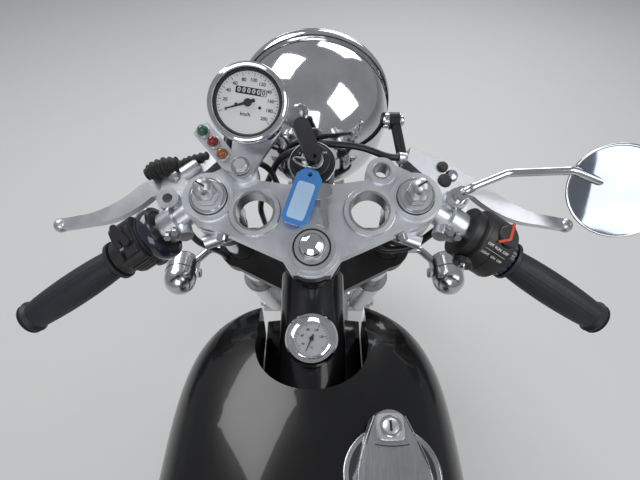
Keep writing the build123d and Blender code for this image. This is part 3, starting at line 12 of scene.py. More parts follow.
import bmesh
import bpy
import numpy as np
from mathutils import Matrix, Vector


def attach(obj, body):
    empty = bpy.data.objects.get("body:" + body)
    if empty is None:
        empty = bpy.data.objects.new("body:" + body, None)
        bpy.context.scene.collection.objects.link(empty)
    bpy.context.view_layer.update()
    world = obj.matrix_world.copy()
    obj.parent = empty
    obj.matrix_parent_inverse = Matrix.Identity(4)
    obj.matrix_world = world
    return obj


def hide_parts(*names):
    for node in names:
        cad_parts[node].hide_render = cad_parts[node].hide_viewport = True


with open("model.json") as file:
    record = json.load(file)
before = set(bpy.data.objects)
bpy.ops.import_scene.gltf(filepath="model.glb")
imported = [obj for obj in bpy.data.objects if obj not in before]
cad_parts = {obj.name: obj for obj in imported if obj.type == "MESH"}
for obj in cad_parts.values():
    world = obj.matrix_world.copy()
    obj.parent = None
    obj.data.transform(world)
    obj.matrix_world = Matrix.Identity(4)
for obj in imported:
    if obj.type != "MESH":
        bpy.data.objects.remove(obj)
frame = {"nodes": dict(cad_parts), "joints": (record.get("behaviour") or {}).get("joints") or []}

log = logging.getLogger("cafe_racer")
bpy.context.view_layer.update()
MM = 0.001

Array = np.ndarray
Piece = bpy.types.Object
Profile = list[tuple[float, float]]
Triple = tuple[float, float, float]
Colour = tuple[float, float, float, float]

# The steering's own directions, as the frame's joint gives them
STEM_UP = np.array(next(j for j in frame["joints"] if j["name"] == "steering_head")["axis"], float)
STEM_FORWARD = np.array([0.0, STEM_UP[2], -STEM_UP[1]])
STEM_TOP = np.array([0.0, 0.325099, 0.935053])
RIGHT, AHEAD, UP = np.eye(3)
FLAT = np.eye(2)


def at_stem(x: float, forward: float, up: float) -> Array:
    """Place a point by millimetres right, forward of the stem and up the stem, in metres."""
    return STEM_TOP + (x * RIGHT + forward * STEM_FORWARD + up * STEM_UP) * MM


def mm(x: float, y: float, z: float) -> Array:
    """Place a point by millimetres in the machine's frame, in metres."""
    return np.array([x, y, z], float) * MM


def unit(vector: Array) -> Array:
    """Give the vector's direction, one long."""
    return np.asarray(vector, float) / np.linalg.norm(vector)


class Value:
    """A number that varies over a surface, with arithmetic that adds Math nodes."""

    def __init__(self, shader: "Shader", socket: bpy.types.NodeSocket) -> None:
        """Wrap one output socket.

        Args:
            shader: the material whose tree holds the socket.
            socket: the output that gives the number.
        """
        self.shader = shader
        self.socket = socket

    def math(self, operation: str, *others: "Value | float") -> "Value":
        """Add one Math node.

        Args:
            operation: the node's operation.
            others: what follows this value in the node's inputs.

        Returns:
            The node's output.
        """
        node = self.shader.node("ShaderNodeMath", {"operation": operation}, {})
        for slot, item in enumerate((self, *others)):
            self.shader.connect(node.inputs[slot], item)
        return Value(self.shader, node.outputs[0])

    def __add__(self, other: "Value | float") -> "Value":
        """Add."""
        return self.math("ADD", other)

    def __mul__(self, other: "Value | float") -> "Value":
        """Multiply."""
        return self.math("MULTIPLY", other)

    def stretch(self, low: float, high: float) -> "Value":
        """Map low to 0 and high to 1, smoothly, and hold outside them.

        Args:
            low: what becomes 0.
            high: what becomes 1.

        Returns:
            The mapped value.
        """
        node = self.shader.node(
            "ShaderNodeMapRange",
            {"interpolation_type": "SMOOTHSTEP"},
            {"Value": self, "From Min": low, "From Max": high},
        )
        return Value(self.shader, node.outputs["Result"])

    def between(self, low: float, high: float) -> "Value":
        """Map 0 to low and 1 to high."""
        return self * (high - low) + low


class Shader:
    """A material and the nodes that make it."""

    def __init__(self, name: str) -> None:
        """Start a material with one Principled shader.

        Args:
            name: the material's name.
        """
        self.material = bpy.data.materials.new(name)
        self.material.use_nodes = True
        self.tree = self.material.node_tree
        self.tree.nodes.clear()
        self.surface = self.node("ShaderNodeBsdfPrincipled", {}, {})
        output = self.node("ShaderNodeOutputMaterial", {}, {})
        self.tree.links.new(self.surface.outputs[0], output.inputs["Surface"])
        self.place = self.node("ShaderNodeTexCoord", {}, {}).outputs["Object"]

    def connect(self, socket: bpy.types.NodeSocket, item: object) -> None:
        """Link a socket, or set it to a constant.

        Args:
            socket: the input.
            item: a value, a link, a constant, or None to leave it.
        """
        if isinstance(item, Value):
            item = item.socket
        if isinstance(item, bpy.types.NodeSocket):
            self.tree.links.new(item, socket)
        elif item is not None:
            socket.default_value = item

    def node(self, kind: str, settings: dict, inputs: dict) -> bpy.types.Node:
        """Add any node.

        Args:
            kind: the node's type.
            settings: its own settings, set first; "stops" gives a ramp's places and colours.
            inputs: a value or a link for each named socket.

        Returns:
            The node.
        """
        made = self.tree.nodes.new(kind)
        for key, value in settings.items():
            if key == "stops":
                ramp = made.color_ramp
                for _ in value[2:]:
                    ramp.elements.new(0.5)
                for element, (place, colour) in zip(ramp.elements, value):
                    element.position = place
                    element.color = colour
            else:
                setattr(made, key, value)
        for key, value in inputs.items():
            self.connect(made.inputs[key], value)
        return made

    def noise(self, scale: float, detail: float = 3.0, stretch: tuple | None = None) -> Value:
        """Cloudy noise on the piece's own coordinates.

        Args:
            scale: features per metre.
            detail: octaves.
            stretch: a factor for each axis, for grain that runs one way.

        Returns:
            The noise, about 0.5.
        """
        where = self.place
        if stretch is not None:
            where = self.node("ShaderNodeMapping", {}, {"Vector": where, "Scale": stretch}).outputs[0]
        made = self.node("ShaderNodeTexNoise", {}, {"Vector": where, "Scale": scale, "Detail": detail})
        return Value(self, made.outputs[0])

    def cells(self, scale: float) -> Value:
        """Cells on the piece's own coordinates, for leather and moulded grain.

        Args:
            scale: cells per metre.

        Returns:
            The distance to the nearest edge of a cell.
        """
        settings = {"feature": "DISTANCE_TO_EDGE"}
        made = self.node("ShaderNodeTexVoronoi", settings, {"Vector": self.place, "Scale": scale})
        return Value(self, made.outputs["Distance"])

    def axis(self, name: str) -> Value:
        """One coordinate of the place, X, Y or Z, in metres."""
        made = self.node("ShaderNodeSeparateXYZ", {}, {"Vector": self.place})
        return Value(self, made.outputs[name])

    def upward(self) -> Value:
        """How far the surface faces up, from -1 to 1.

        Returns:
            The normal's height.
        """
        geometry = self.node("ShaderNodeNewGeometry", {}, {})
        made = self.node("ShaderNodeSeparateXYZ", {}, {"Vector": geometry.outputs["Normal"]})
        return Value(self, made.outputs["Z"])

    def edges(self) -> Value:
        """Where the surface turns a sharp corner outward, for wear."""
        made = self.node("ShaderNodeNewGeometry", {}, {})
        return Value(self, made.outputs["Pointiness"])

    def blend(self, share: Value, low: tuple, high: tuple) -> bpy.types.NodeSocket:
        """Mix two colours by a share.

        Args:
            share: 0 for all low, 1 for all high.
            low: one colour.
            high: the other.

        Returns:
            The mixed colour.
        """
        made = self.node("ShaderNodeMix", {"data_type": "RGBA"}, {})
        self.connect(made.inputs[0], share)
        self.connect(made.inputs[6], low)
        self.connect(made.inputs[7], high)
        return made.outputs[2]

    def bump(self, height: Value, depth: float, strength: float = 1.0) -> bpy.types.NodeSocket:
        """Turn a height from 0 to 1 into a normal, with the depth in metres."""
        made = self.node("ShaderNodeBump", {}, {"Height": height, "Distance": depth, "Strength": strength})
        return made.outputs[0]

    def done(self, **channels: object) -> bpy.types.Material:
        """Feed the Principled shader.

        Args:
            channels: a value or a link for each socket, with an underscore for a space.

        Returns:
            The finished material.
        """
        for key, value in channels.items():
            self.connect(self.surface.inputs[key.replace("_", " ")], value)
        return self.material


def rgb(red: float, green: float, blue: float) -> Colour:
    """Give an opaque colour in linear light."""
    return (red, green, blue, 1.0)


def grey(level: float) -> Colour:
    """Give a neutral colour in linear light."""
    return rgb(level, level, level)


def darker(colour: Colour, share: float) -> Colour:
    """Scale a colour down or up."""
    return rgb(*(part * share for part in colour[:3]))


class Grain(Enum):
    """How a metal was finished: noise scale and detail, bump depth and strength, roughness down and up."""

    BLASTED = (2600.0, 2.0, 0.00012, 0.35, 0.05, 0.08)
    BRUSHED = (1400.0, 2.0, 0.00006, 0.50, 0.08, 0.10)
    CAST = (620.0, 5.0, 0.00030, 0.50, 0.06, 0.12)
    POLISHED = (160.0, 2.0, 0.00002, 0.25, 0.00, 0.14)


@dataclass(frozen=True)
class Metal:
    """Bare or plated metal.

    Attributes:
        name: the material's name.
        colour: its reflected colour.
        roughness: the polish, smallest for chrome.
        grain: how it was finished.
        run: for brushing, a factor for each axis; the small one runs along the marks.
    """

    name: str
    colour: Colour
    roughness: float
    grain: Grain = Grain.POLISHED
    run: Triple = (1.0, 1.0, 0.03)

    def make(self) -> bpy.types.Material:
        """Build the nodes: a grain bump, cloudy polish and a slightly darker cloudy tone.

        Returns:
            The finished material.
        """
        s = Shader(self.name)
        scale, detail, depth, strength, less, more = self.grain.value
        cloud = s.noise(38.0, 4.0)
        brushed = self.grain is Grain.BRUSHED
        height = s.noise(scale, detail, self.run if brushed else None)
        polish = height if brushed else cloud
        if self.grain is Grain.POLISHED:
            polish = cloud * s.noise(900.0, 2.0)
        rough = polish.between(self.roughness - less, self.roughness + more)
        tone = s.blend(cloud.stretch(0.3, 0.75), darker(self.colour, 0.84), self.colour)
        return s.done(Base_Color=tone, Metallic=1.0, Roughness=rough, Normal=s.bump(height, depth, strength))


@dataclass(frozen=True)
class Paint:
    """Sprayed paint, glossy under lacquer or satin.

    Attributes:
        name: the material's name.
        colour: the pigment.
        roughness: of the colour coat.
        lacquer: how much clear coat lies over it.
        dust: how much pale dust settles on faces that look up.
    """

    name: str
    colour: Colour
    roughness: float
    lacquer: float
    dust: float = 0.04

    def make(self) -> bpy.types.Material:
        """Build the nodes: a slow ripple in the film, and a thin dust on upward faces.

        Returns:
            The finished material.
        """
        s = Shader(self.name)
        cloud = s.noise(26.0, 5.0)
        ripple = s.noise(330.0, 2.0)
        settled = s.upward().stretch(0.2, 1.0) * cloud.stretch(0.35, 0.8) * self.dust
        tone = s.blend(settled, self.colour, grey(0.42))
        rough = settled.between(self.roughness, self.roughness + 0.5) + (cloud * 0.05)
        return s.done(
            Base_Color=tone,
            Roughness=rough,
            Coat_Weight=self.lacquer,
            Coat_Roughness=0.045,
            Specular_IOR_Level=0.25,
            Normal=s.bump(ripple, 0.00002, 0.22),
        )


@dataclass(frozen=True)
class Moulded:
    """Rubber or moulded plastic with a fine grain.

    Attributes:
        name: the material's name.
        colour: the compound.
        roughness: how matt it is.
        pitch: grain cells per metre.
        depth: grain depth in metres.
        worn: how much paler the rubbed places are.
    """

    name: str
    colour: Colour
    roughness: float
    pitch: float = 1500.0
    depth: float = 0.00006
    worn: float = 0.5

    def make(self) -> bpy.types.Material:
        """Build the nodes: cell grain, cloudy sheen and paler rubbed corners.

        Returns:
            The finished material.
        """
        s = Shader(self.name)
        cloud = s.noise(60.0, 4.0)
        grain = s.cells(self.pitch)
        rubbed = s.edges().stretch(0.5, 0.62) * self.worn + cloud.stretch(0.45, 0.8) * 0.25
        tone = s.blend(rubbed, self.colour, darker(self.colour, 1.9))
        rough = cloud.between(self.roughness - 0.08, self.roughness + 0.1)
        return s.done(Base_Color=tone, Roughness=rough, Normal=s.bump(grain, self.depth, 0.6))


@dataclass(frozen=True)
class Glassy:
    """Clear or tinted glass, lens plastic or resin.

    Attributes:
        name: the material's name.
        colour: the tint.
        see_through: how much light passes.
        roughness: frosting.
        painted_glow: emission painted on; it makes the key tag look lit though it is no lamp, and stands in
            for light caught inside the pilot lamps' lenses.
        ribs: lens ribs per metre across X, or none.
    """

    name: str
    colour: Colour
    see_through: float
    roughness: float = 0.05
    painted_glow: float = 0.0
    ribs: float = 0.0

    def make(self) -> bpy.types.Material:
        """Build the nodes: a little smear in the polish, and ribs as a wave across the lens.

        Returns:
            The finished material.
        """
        s = Shader(self.name)
        smear = s.noise(45.0, 3.0)
        height = s.noise(240.0, 2.0)
        depth = 0.00001
        if self.ribs:
            height = (s.axis("X") * (self.ribs * math.tau)).math("SINE") * 0.5 + 0.5
            depth = 0.0006
        tone = s.blend(smear, darker(self.colour, 0.9), self.colour)
        return s.done(
            Base_Color=tone,
            Roughness=smear.between(self.roughness, self.roughness + 0.08),
            Transmission_Weight=self.see_through,
            IOR=1.46,
            Coat_Weight=0.6,
            # Painted light: the emission makes the key tag look lit though it is no lamp, and stands in for
            # light caught inside the pilot lamps' lenses.
            Emission_Color=self.colour,
            Emission_Strength=self.painted_glow,
            Normal=s.bump(height, depth, 0.8),
        )


@dataclass(frozen=True)
class Hide:
    """Grained seat cover.

    Attributes:
        name: the material's name.
        colour: the dye.
        roughness: its sheen.
    """

    name: str
    colour: Colour
    roughness: float

    def make(self) -> bpy.types.Material:
        """Build the nodes: leather cells, creases and worn high places.

        Returns:
            The finished material.
        """
        s = Shader(self.name)
        pebble = s.cells(620.0)
        crease = s.noise(210.0, 6.0)
        cloud = s.noise(14.0, 4.0)
        height = pebble.stretch(0.0, 0.5) * 0.7 + crease * 0.3
        worn = cloud.stretch(0.5, 0.8) * 0.3 + s.edges().stretch(0.5, 0.6) * 0.2
        tone = s.blend(worn, self.colour, darker(self.colour, 2.4))
        rough = cloud.between(self.roughness - 0.07, self.roughness + 0.09)
        return s.done(
            Base_Color=tone, Roughness=rough, Sheen_Weight=0.15, Normal=s.bump(height, 0.0004, 0.7)
        )


@dataclass(frozen=True)
class Flat:
    """Printed or enamelled face, such as a dial.

    Attributes:
        name: the material's name.
        colour: the print.
        roughness: its sheen.
    """

    name: str
    colour: Colour
    roughness: float = 0.45

    def make(self) -> bpy.types.Material:
        """Build the nodes: a faint unevenness in tone and sheen.

        Returns:
            The finished material.
        """
        s = Shader(self.name)
        cloud = s.noise(90.0, 3.0)
        tone = s.blend(cloud, darker(self.colour, 0.93), self.colour)
        rough = cloud.between(self.roughness - 0.05, self.roughness + 0.05)
        return s.done(Base_Color=tone, Roughness=rough, Normal=s.bump(cloud, 0.00002, 0.2))


@dataclass(frozen=True)
class Pane:
    """Thin clear glass that lets a dial show through.

    Attributes:
        name: the material's name.
        body: how much of the glass itself is seen.
    """

    name: str
    body: float

    def make(self) -> bpy.types.Material:
        """Build the nodes: a mostly clear pane with a faint smear.

        Returns:
            The finished material.
        """
        s = Shader(self.name)
        smear = s.noise(70.0, 3.0)
        return s.done(
            Base_Color=grey(0.08),
            Roughness=smear.between(0.02, 0.10),
            Alpha=smear.between(self.body * 0.7, self.body * 1.3),
        )


FINISHES = {
    finish.name: finish
    for finish in (
        Metal("blasted_alloy", rgb(0.80, 0.82, 0.86), 0.36, Grain.BLASTED),
        Metal("satin_alloy", rgb(0.68, 0.70, 0.73), 0.34, Grain.CAST),
        Metal("cast_alloy", rgb(0.46, 0.47, 0.48), 0.46, Grain.CAST),
        Metal("brushed_cap", rgb(0.42, 0.43, 0.45), 0.34, Grain.BRUSHED, (1.0, 0.05, 1.0)),
        Metal("polished_alloy", rgb(0.66, 0.67, 0.69), 0.18),
        Metal("chrome", rgb(0.74, 0.75, 0.77), 0.05),
        Metal("bright_steel", rgb(0.58, 0.59, 0.60), 0.22),
        Metal("zinc_steel", rgb(0.50, 0.51, 0.53), 0.34, Grain.CAST),
        Metal("chain_steel", rgb(0.24, 0.22, 0.19), 0.38, Grain.CAST),
        Metal("header_steel", rgb(0.58, 0.53, 0.46), 0.17),
        # Painted reflection: the mirror's dark blue-grey stands in for the room seen in it and keeps the pale
        # sky from showing bright in it.
        Metal("mirror_painted_reflection", rgb(0.36, 0.40, 0.47), 0.02),
        Paint("tank_black", rgb(0.0035, 0.0035, 0.004), 0.22, 0.45, 0.004),
        Paint("frame_black", rgb(0.007, 0.007, 0.008), 0.26, 0.45, 0.01),
        Paint("satin_black", rgb(0.016, 0.016, 0.017), 0.42, 0.15, 0.06),
        Paint("engine_black", rgb(0.020, 0.020, 0.021), 0.52, 0.0, 0.08),
        # Painted highlight: the blue in this near-black stands in for the bluish highlight on the switch band
        # and the throttle ring.
        Paint("gloss_band", rgb(0.012, 0.013, 0.030), 0.20, 1.0, 0.0),
        Moulded("grip_rubber", rgb(0.012, 0.014, 0.020), 0.50, 1100.0, 0.00010, 0.3),
        Moulded("black_rubber", rgb(0.014, 0.014, 0.015), 0.58, 900.0, 0.00006, 0.4),
        Moulded("tyre_rubber", rgb(0.018, 0.018, 0.019), 0.72, 700.0, 0.00012, 0.5),
        Moulded("switch_plastic", rgb(0.015, 0.015, 0.016), 0.42, 1800.0, 0.00005, 0.25),
        Moulded("kill_red", rgb(0.50, 0.055, 0.025), 0.40, 1800.0, 0.00003, 0.3),
        Moulded("cable_black", rgb(0.012, 0.012, 0.013), 0.36, 1600.0, 0.00003, 0.2),
        Glassy("lens_clear", rgb(0.92, 0.95, 0.97), 0.92, 0.03, ribs=180.0),
        Glassy("lens_amber", rgb(0.62, 0.20, 0.01), 0.35, 0.08, ribs=240.0),
        Glassy("lens_red", rgb(0.42, 0.008, 0.006), 0.35, 0.08, ribs=220.0),
        # Painted light: the pilot lamps' small emission stands in for light caught inside their lenses.
        Glassy("lamp_green", rgb(0.03, 0.20, 0.11), 0.30, 0.10, 0.02),
        Glassy("lamp_red", rgb(0.30, 0.02, 0.02), 0.30, 0.10, 0.02),
        Glassy("lamp_orange", rgb(0.42, 0.12, 0.03), 0.30, 0.10, 0.02),
        # Painted light: the key tag's emission makes it look lit, though it is no lamp.
        Glassy("tag_blue", rgb(0.07, 0.27, 0.66), 0.35, 0.16, 0.10),
        Pane("dial_glass", 0.035),
        Hide("seat_hide", rgb(0.010, 0.010, 0.011), 0.46),
        Flat("dial_white", rgb(0.72, 0.73, 0.74)),
        Flat("dial_grey", rgb(0.36, 0.38, 0.40)),
        Flat("print_black", rgb(0.010, 0.010, 0.010)),
        Flat("print_white", rgb(0.70, 0.70, 0.70)),
        Flat("tag_label", rgb(0.44, 0.62, 0.84)),
    )
}

# The frame nodes that each finish covers
NODES_BY_FINISH = {
    "chrome": (
        "front_wheel rear_wheel fork_tubes mirror speedometer headlamp front_mudguard "
        "oil_thermometer rear_dampers muffler rear_mudguard rear_signals"
    ),
    "tyre_rubber": "front_tyre rear_tyre",
    "blasted_alloy": "top_clamp clip_ons",
    "satin_black": "lower_clamp headlamp_stays plate_bracket footrests centre_stand side_stand",
    "polished_alloy": "fork_sliders front_signals",
    "satin_alloy": "fork_caps hand_levers speedo_bracket front_brake rear_brake",
    "grip_rubber": "grips",
    "switch_plastic": "switch_housings ignition_switch ignition_key",
    "tag_blue": "key_tag",
    "cable_black": "control_cables oil_lines",
    "lens_clear": "headlamp_lens",
    "frame_black": "frame_backbone frame_cradle frame_rear swingarm",
    "cast_alloy": "crankcase rocker_cover carburettor",
    "engine_black": "cylinder",
    "header_steel": "exhaust_header",
    "tank_black": "fuel_tank tail_cowl side_covers",
    "brushed_cap": "cap_flange fuel_cap",
    "seat_hide": "seat_pad",
    "lens_red": "tail_lamp",
    "bright_steel": "foot_levers",
    "chain_steel": "drive_chain",
}
made_finishes: dict[str, bpy.types.Material] = {}


def finish(name: str) -> bpy.types.Material:
    """Give a finish's material, built the first time it is asked for.

    Args:
        name: one of FINISHES.

    Returns:
        The material.
    """
    if name not in made_finishes:
        made_finishes[name] = FINISHES[name].make()
    return made_finishes[name]


def circle(steps: int) -> Array:
    """Give even angles round a circle, in radians, from 0."""
    return np.arange(steps) * (math.tau / steps)


def swing(turn: Array | float, across: Array, beside: Array) -> Array:
    """Give the direction cos(turn) across + sin(turn) beside for each angle."""
    return np.cos(turn)[..., None] * across + np.sin(turn)[..., None] * beside


def hung(name: str, data: bpy.types.ID) -> Piece:
    """Put a mesh, text, lamp or camera into the scene as an object.

    Args:
        name: the object's name.
        data: what it shows.

    Returns:
        The object.
    """
    made = bpy.data.objects.new(name, data)
    bpy.context.scene.collection.objects.link(made)
    return made


def points_of(mesh: bpy.types.Mesh, kind: str = "co") -> Array:
    """Read a mesh's points, or their normals.

    Args:
        mesh: the mesh.
        kind: co for the points, normal for the normals.

    Returns:
        One row of three for each vertex.
    """
    flat = np.empty(len(mesh.vertices) * 3, np.float32)
    mesh.vertices.foreach_get(kind, flat)
    return flat.reshape(-1, 3)


def move_points(mesh: bpy.types.Mesh, points: Array) -> None:
    """Write a mesh's points."""
    mesh.vertices.foreach_set("co", points.astype(np.float32).ravel())
    mesh.update()


def join_mesh(name: str, points: Array, faces: Array) -> Piece:
    """Make an object whose mesh has these points and faces, welded and facing outward.

    Args:
        name: the piece's name.
        points: one row of three metres for each vertex.
        faces: one row of vertex numbers for each face.

    Returns:
        The object, in the scene.
    """
    mesh = bpy.data.meshes.new(name)
    mesh.from_pydata(points.tolist(), [], faces.tolist())
    work = bmesh.new()
    work.from_mesh(mesh)
    bmesh.ops.remove_doubles(work, verts=work.verts, dist=1e-6)
    bmesh.ops.dissolve_degenerate(work, edges=work.edges, dist=1e-7)
    bmesh.ops.recalc_face_normals(work, faces=work.faces)
    work.to_mesh(mesh)
    work.free()
    mesh.update()
    return hung(name, mesh)


def smooth(piece: Piece, angle: float = 35.0) -> Piece:
    """Shade a mesh smooth, apart from edges that turn by more than an angle in degrees.

    Args:
        piece: the piece.
        angle: in degrees.

    Returns:
        The same piece.
    """
    piece.data.shade_smooth()
    piece.data.set_sharp_from_angle(angle=math.radians(angle))
    return piece


def grid_faces(rows: int, columns: int, closed: bool) -> Array:
    """Number the four corners of each cell of a grid.

    Args:
        rows: points along the first parameter.
        columns: points along the second.
        closed: whether the second parameter comes round to its start.

    Returns:
        One row of four vertex numbers for each cell.
    """
    last = columns if closed else columns - 1
    i, j = np.meshgrid(np.arange(rows - 1), np.arange(last), indexing="ij")
    k = (j + 1) % columns
    near, far = i * columns, (i + 1) * columns
    return np.stack([near + j, near + k, far + k, far + j], -1).reshape(-1, 4)


def surface(name: str, grid: Array, closed: bool = False) -> Piece:
    """Make a piece from a grid of points, P(u, v) with u along rows and v along columns."""
    rows, columns = grid.shape[:2]
    return smooth(join_mesh(name, grid.reshape(-1, 3), grid_faces(rows, columns, closed)))


def frame_of(axis: Array, hint: Array | None = None) -> tuple[Array, Array, Array]:
    """Give three directions at right angles, the third along an axis and the first near a hint.

    Args:
        axis: what the third direction follows.
        hint: what the first lies near, RIGHT when there is none.

    Returns:
        The three directions.
    """
    along = unit(axis)
    guide = RIGHT if hint is None else np.asarray(hint, float)
    if abs(unit(guide) @ along) > 0.98:
        guide = AHEAD
    across = unit(guide - (guide @ along) * along)
    return across, np.cross(along, across), along


def turned(name: str, origin: Array, axis: Array, profile: Profile, steps: int = 48) -> Piece:
    """Turn a profile about an axis: P(u, v) = origin + height(u) axis + radius(u) (cos v, sin v).

    Args:
        name: the piece's name.
        origin: a point on the axis, in metres.
        axis: its direction.
        profile: radius and height pairs in millimetres.
        steps: points round the axis.

    Returns:
        The piece.
    """
    across, beside, along = frame_of(axis)
    radius, height = (np.array(profile, float).T * MM)[..., None, None]
    return surface(name, origin + height * along + radius * swing(circle(steps), across, beside), True)


def stacked(
    name: str, origin: Array, axis: Array, outline: Array, levels: Profile, hint: Array | None = None
) -> Piece:
    """Stack one outline, scaled at each height: P(u, v) = origin + height(u) axis + scale(u) outline(v).

    Args:
        name: the piece's name.
        origin: the outline's centre, in metres.
        axis: the direction of the stack.
        outline: rows of two millimetres, counterclockwise.
        levels: scale and height pairs, heights in millimetres.
        hint: the direction of the outline's first axis.

    Returns:
        The piece.
    """
    across, beside, along = frame_of(axis, hint)
    flat = outline[:, :1] * across + outline[:, 1:] * beside
    scale, height = np.array(levels, float).T[..., None, None]
    return surface(name, origin + (height * along + scale * flat) * MM, True)


def rounded(steps: int, power: float) -> Array:
    """Give a squarer circle: cos and sin, each with its sign and its size to 2/power."""
    flat = swing(circle(steps), *FLAT)
    return np.sign(flat) * np.abs(flat) ** (2 / power)


def polygon(sides: int, radius: float) -> Array:
    """Give a regular polygon's corners, in millimetres."""
    return rounded(sides, 2.0) * radius


def superellipse(width: float, height: float, power: float = 4.0, steps: int = 48) -> Array:
    """Give a rounded rectangle, in millimetres: a squarer circle stretched to its sides."""
    return rounded(steps, power) * (width, height) / 2


def slab(low: float, high: float, reach: float = 1.0) -> Profile:
    """Give the levels of a flat plate from low to high, or the profile of a disc with a radius."""
    return [(0, low), (reach, low), (reach, high), (0, high)]


def spread(points: Array, steps: int) -> Array:
    """Carry a smooth curve through points: Catmull-Rom spans, each a cubic in its own parameter.

    Args:
        points: what it passes through.
        steps: how many points to give.

    Returns:
        The points of the curve.
    """
    ends = np.concatenate([[2 * points[0] - points[1]], points, [2 * points[-1] - points[-2]]])
    place = np.linspace(0, len(points) - 1 - 1e-9, steps)
    span = place.astype(int)
    t = (place - span)[:, None]
    a, b, c, d = ends[span], ends[span + 1], ends[span + 2], ends[span + 3]
    return 0.5 * (2 * b + (c - a) * t + (2 * a - 5 * b + 4 * c - d) * t**2 + (3 * b - a - 3 * c + d) * t**3)


def carried(
    name: str, path: Array, radius: Array | float, hint: Array,
    flatten: float = 1.0, steps: int = 16, power: float = 2.0,
) -> Piece:
    """Carry a ring along a path: P(u, v) = path(u) + radius(u) (cos v across + flatten sin v beside).

    Args:
        name: the piece's name.
        path: the centreline, in metres.
        radius: one radius, or one for each point, in millimetres.
        hint: a direction that is never along the path; the ring's first axis lies near it.
        flatten: height over width of the ring.
        steps: points round the ring.
        power: 2 for an ellipse, more for squarer.

    Returns:
        The piece, closed at both ends.
    """
    along = np.gradient(path, axis=0)
    along /= np.linalg.norm(along, axis=1)[:, None]
    across = hint - (along @ hint)[:, None] * along
    across /= np.linalg.norm(across, axis=1)[:, None]
    beside = np.cross(along, across)
    cos, sin = rounded(steps, power).T
    width = np.broadcast_to(np.asarray(radius, float), len(path))[:, None, None] * MM
    ring = cos[None, :, None] * across[:, None] + flatten * sin[None, :, None] * beside[:, None]
    grid = path[:, None] + width * ring
    ends = np.broadcast_to(path[[0, -1]][:, None], (2, steps, 3))
    return surface(name, np.concatenate([ends[:1], grid, ends[1:]]), True)


def lettering(name: str, words: str, height: float, centre: Array, across: Array, up: Array) -> Piece:
    """Set a few generic characters as a flat mesh.

    Args:
        name: the piece's name.
        words: the characters.
        height: of a capital, in millimetres.
        centre: the middle of the line, in metres.
        across: the reading direction.
        up: the direction of the characters' tops.

    Returns:
        The piece, with its place in its mesh.
    """
    text = bpy.data.curves.new(name, "FONT")
    text.body = words
    text.align_x = "CENTER"
    text.align_y = "CENTER"
    text.size = height * MM / 0.7
    text.offset = height * MM * 0.035
    holder = hung(name, text)
    bpy.context.view_layer.update()
    mesh = bpy.data.meshes.new_from_object(holder.evaluated_get(bpy.context.evaluated_depsgraph_get()))
    bpy.data.objects.remove(holder)
    flat = points_of(mesh)
    move_points(mesh, centre + flat[:, :1] * unit(across) + flat[:, 1:2] * unit(up))
    mesh.materials.clear()
    return hung(name, mesh)


@dataclass
class Assembly:
    """A sub-assembly, which gives each piece that it makes a finish, a body and a line in the log.

    Attributes:
        home: the frame body that its pieces move with, unless they name another.
        count: how many pieces it has fitted.
    """

    home = "chassis"
    count: int = field(default=0, init=False)

    def build(self) -> None:
        """Make the pieces, as each sub-assembly does in its own way."""
        raise NotImplementedError

    def fit(self, piece: Piece, look: str, body: str | None = None, slot: str | None = None) -> Piece:
        """Dress a piece and hang it on its body.

        Args:
            piece: the new piece.
            look: the name of its finish.
            body: the frame body that it moves with, where it isn't home.
            slot: not used.

        Returns:
            The same piece.
        """
        piece.data.materials.clear()
        piece.data.materials.append(finish(look))
        body = body or self.home
        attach(piece, body)
        self.count += 1
        log.info("%s rides on %s in %s", piece.name, body, look)
        return piece

    def join(self, name: str, pieces: list[Piece], look: str, body: str | None = None) -> Piece:
        """Join pieces of one finish into one and fit it."""
        return self.fit(gather(name, pieces), look, body)


def dress_frame_nodes() -> None:
    """Give every carried-over frame node its finish."""
    for look, names in NODES_BY_FINISH.items():
        for name in names.split():
            materials = frame["nodes"][name].data.materials
            materials.clear()
            materials.append(finish(look))


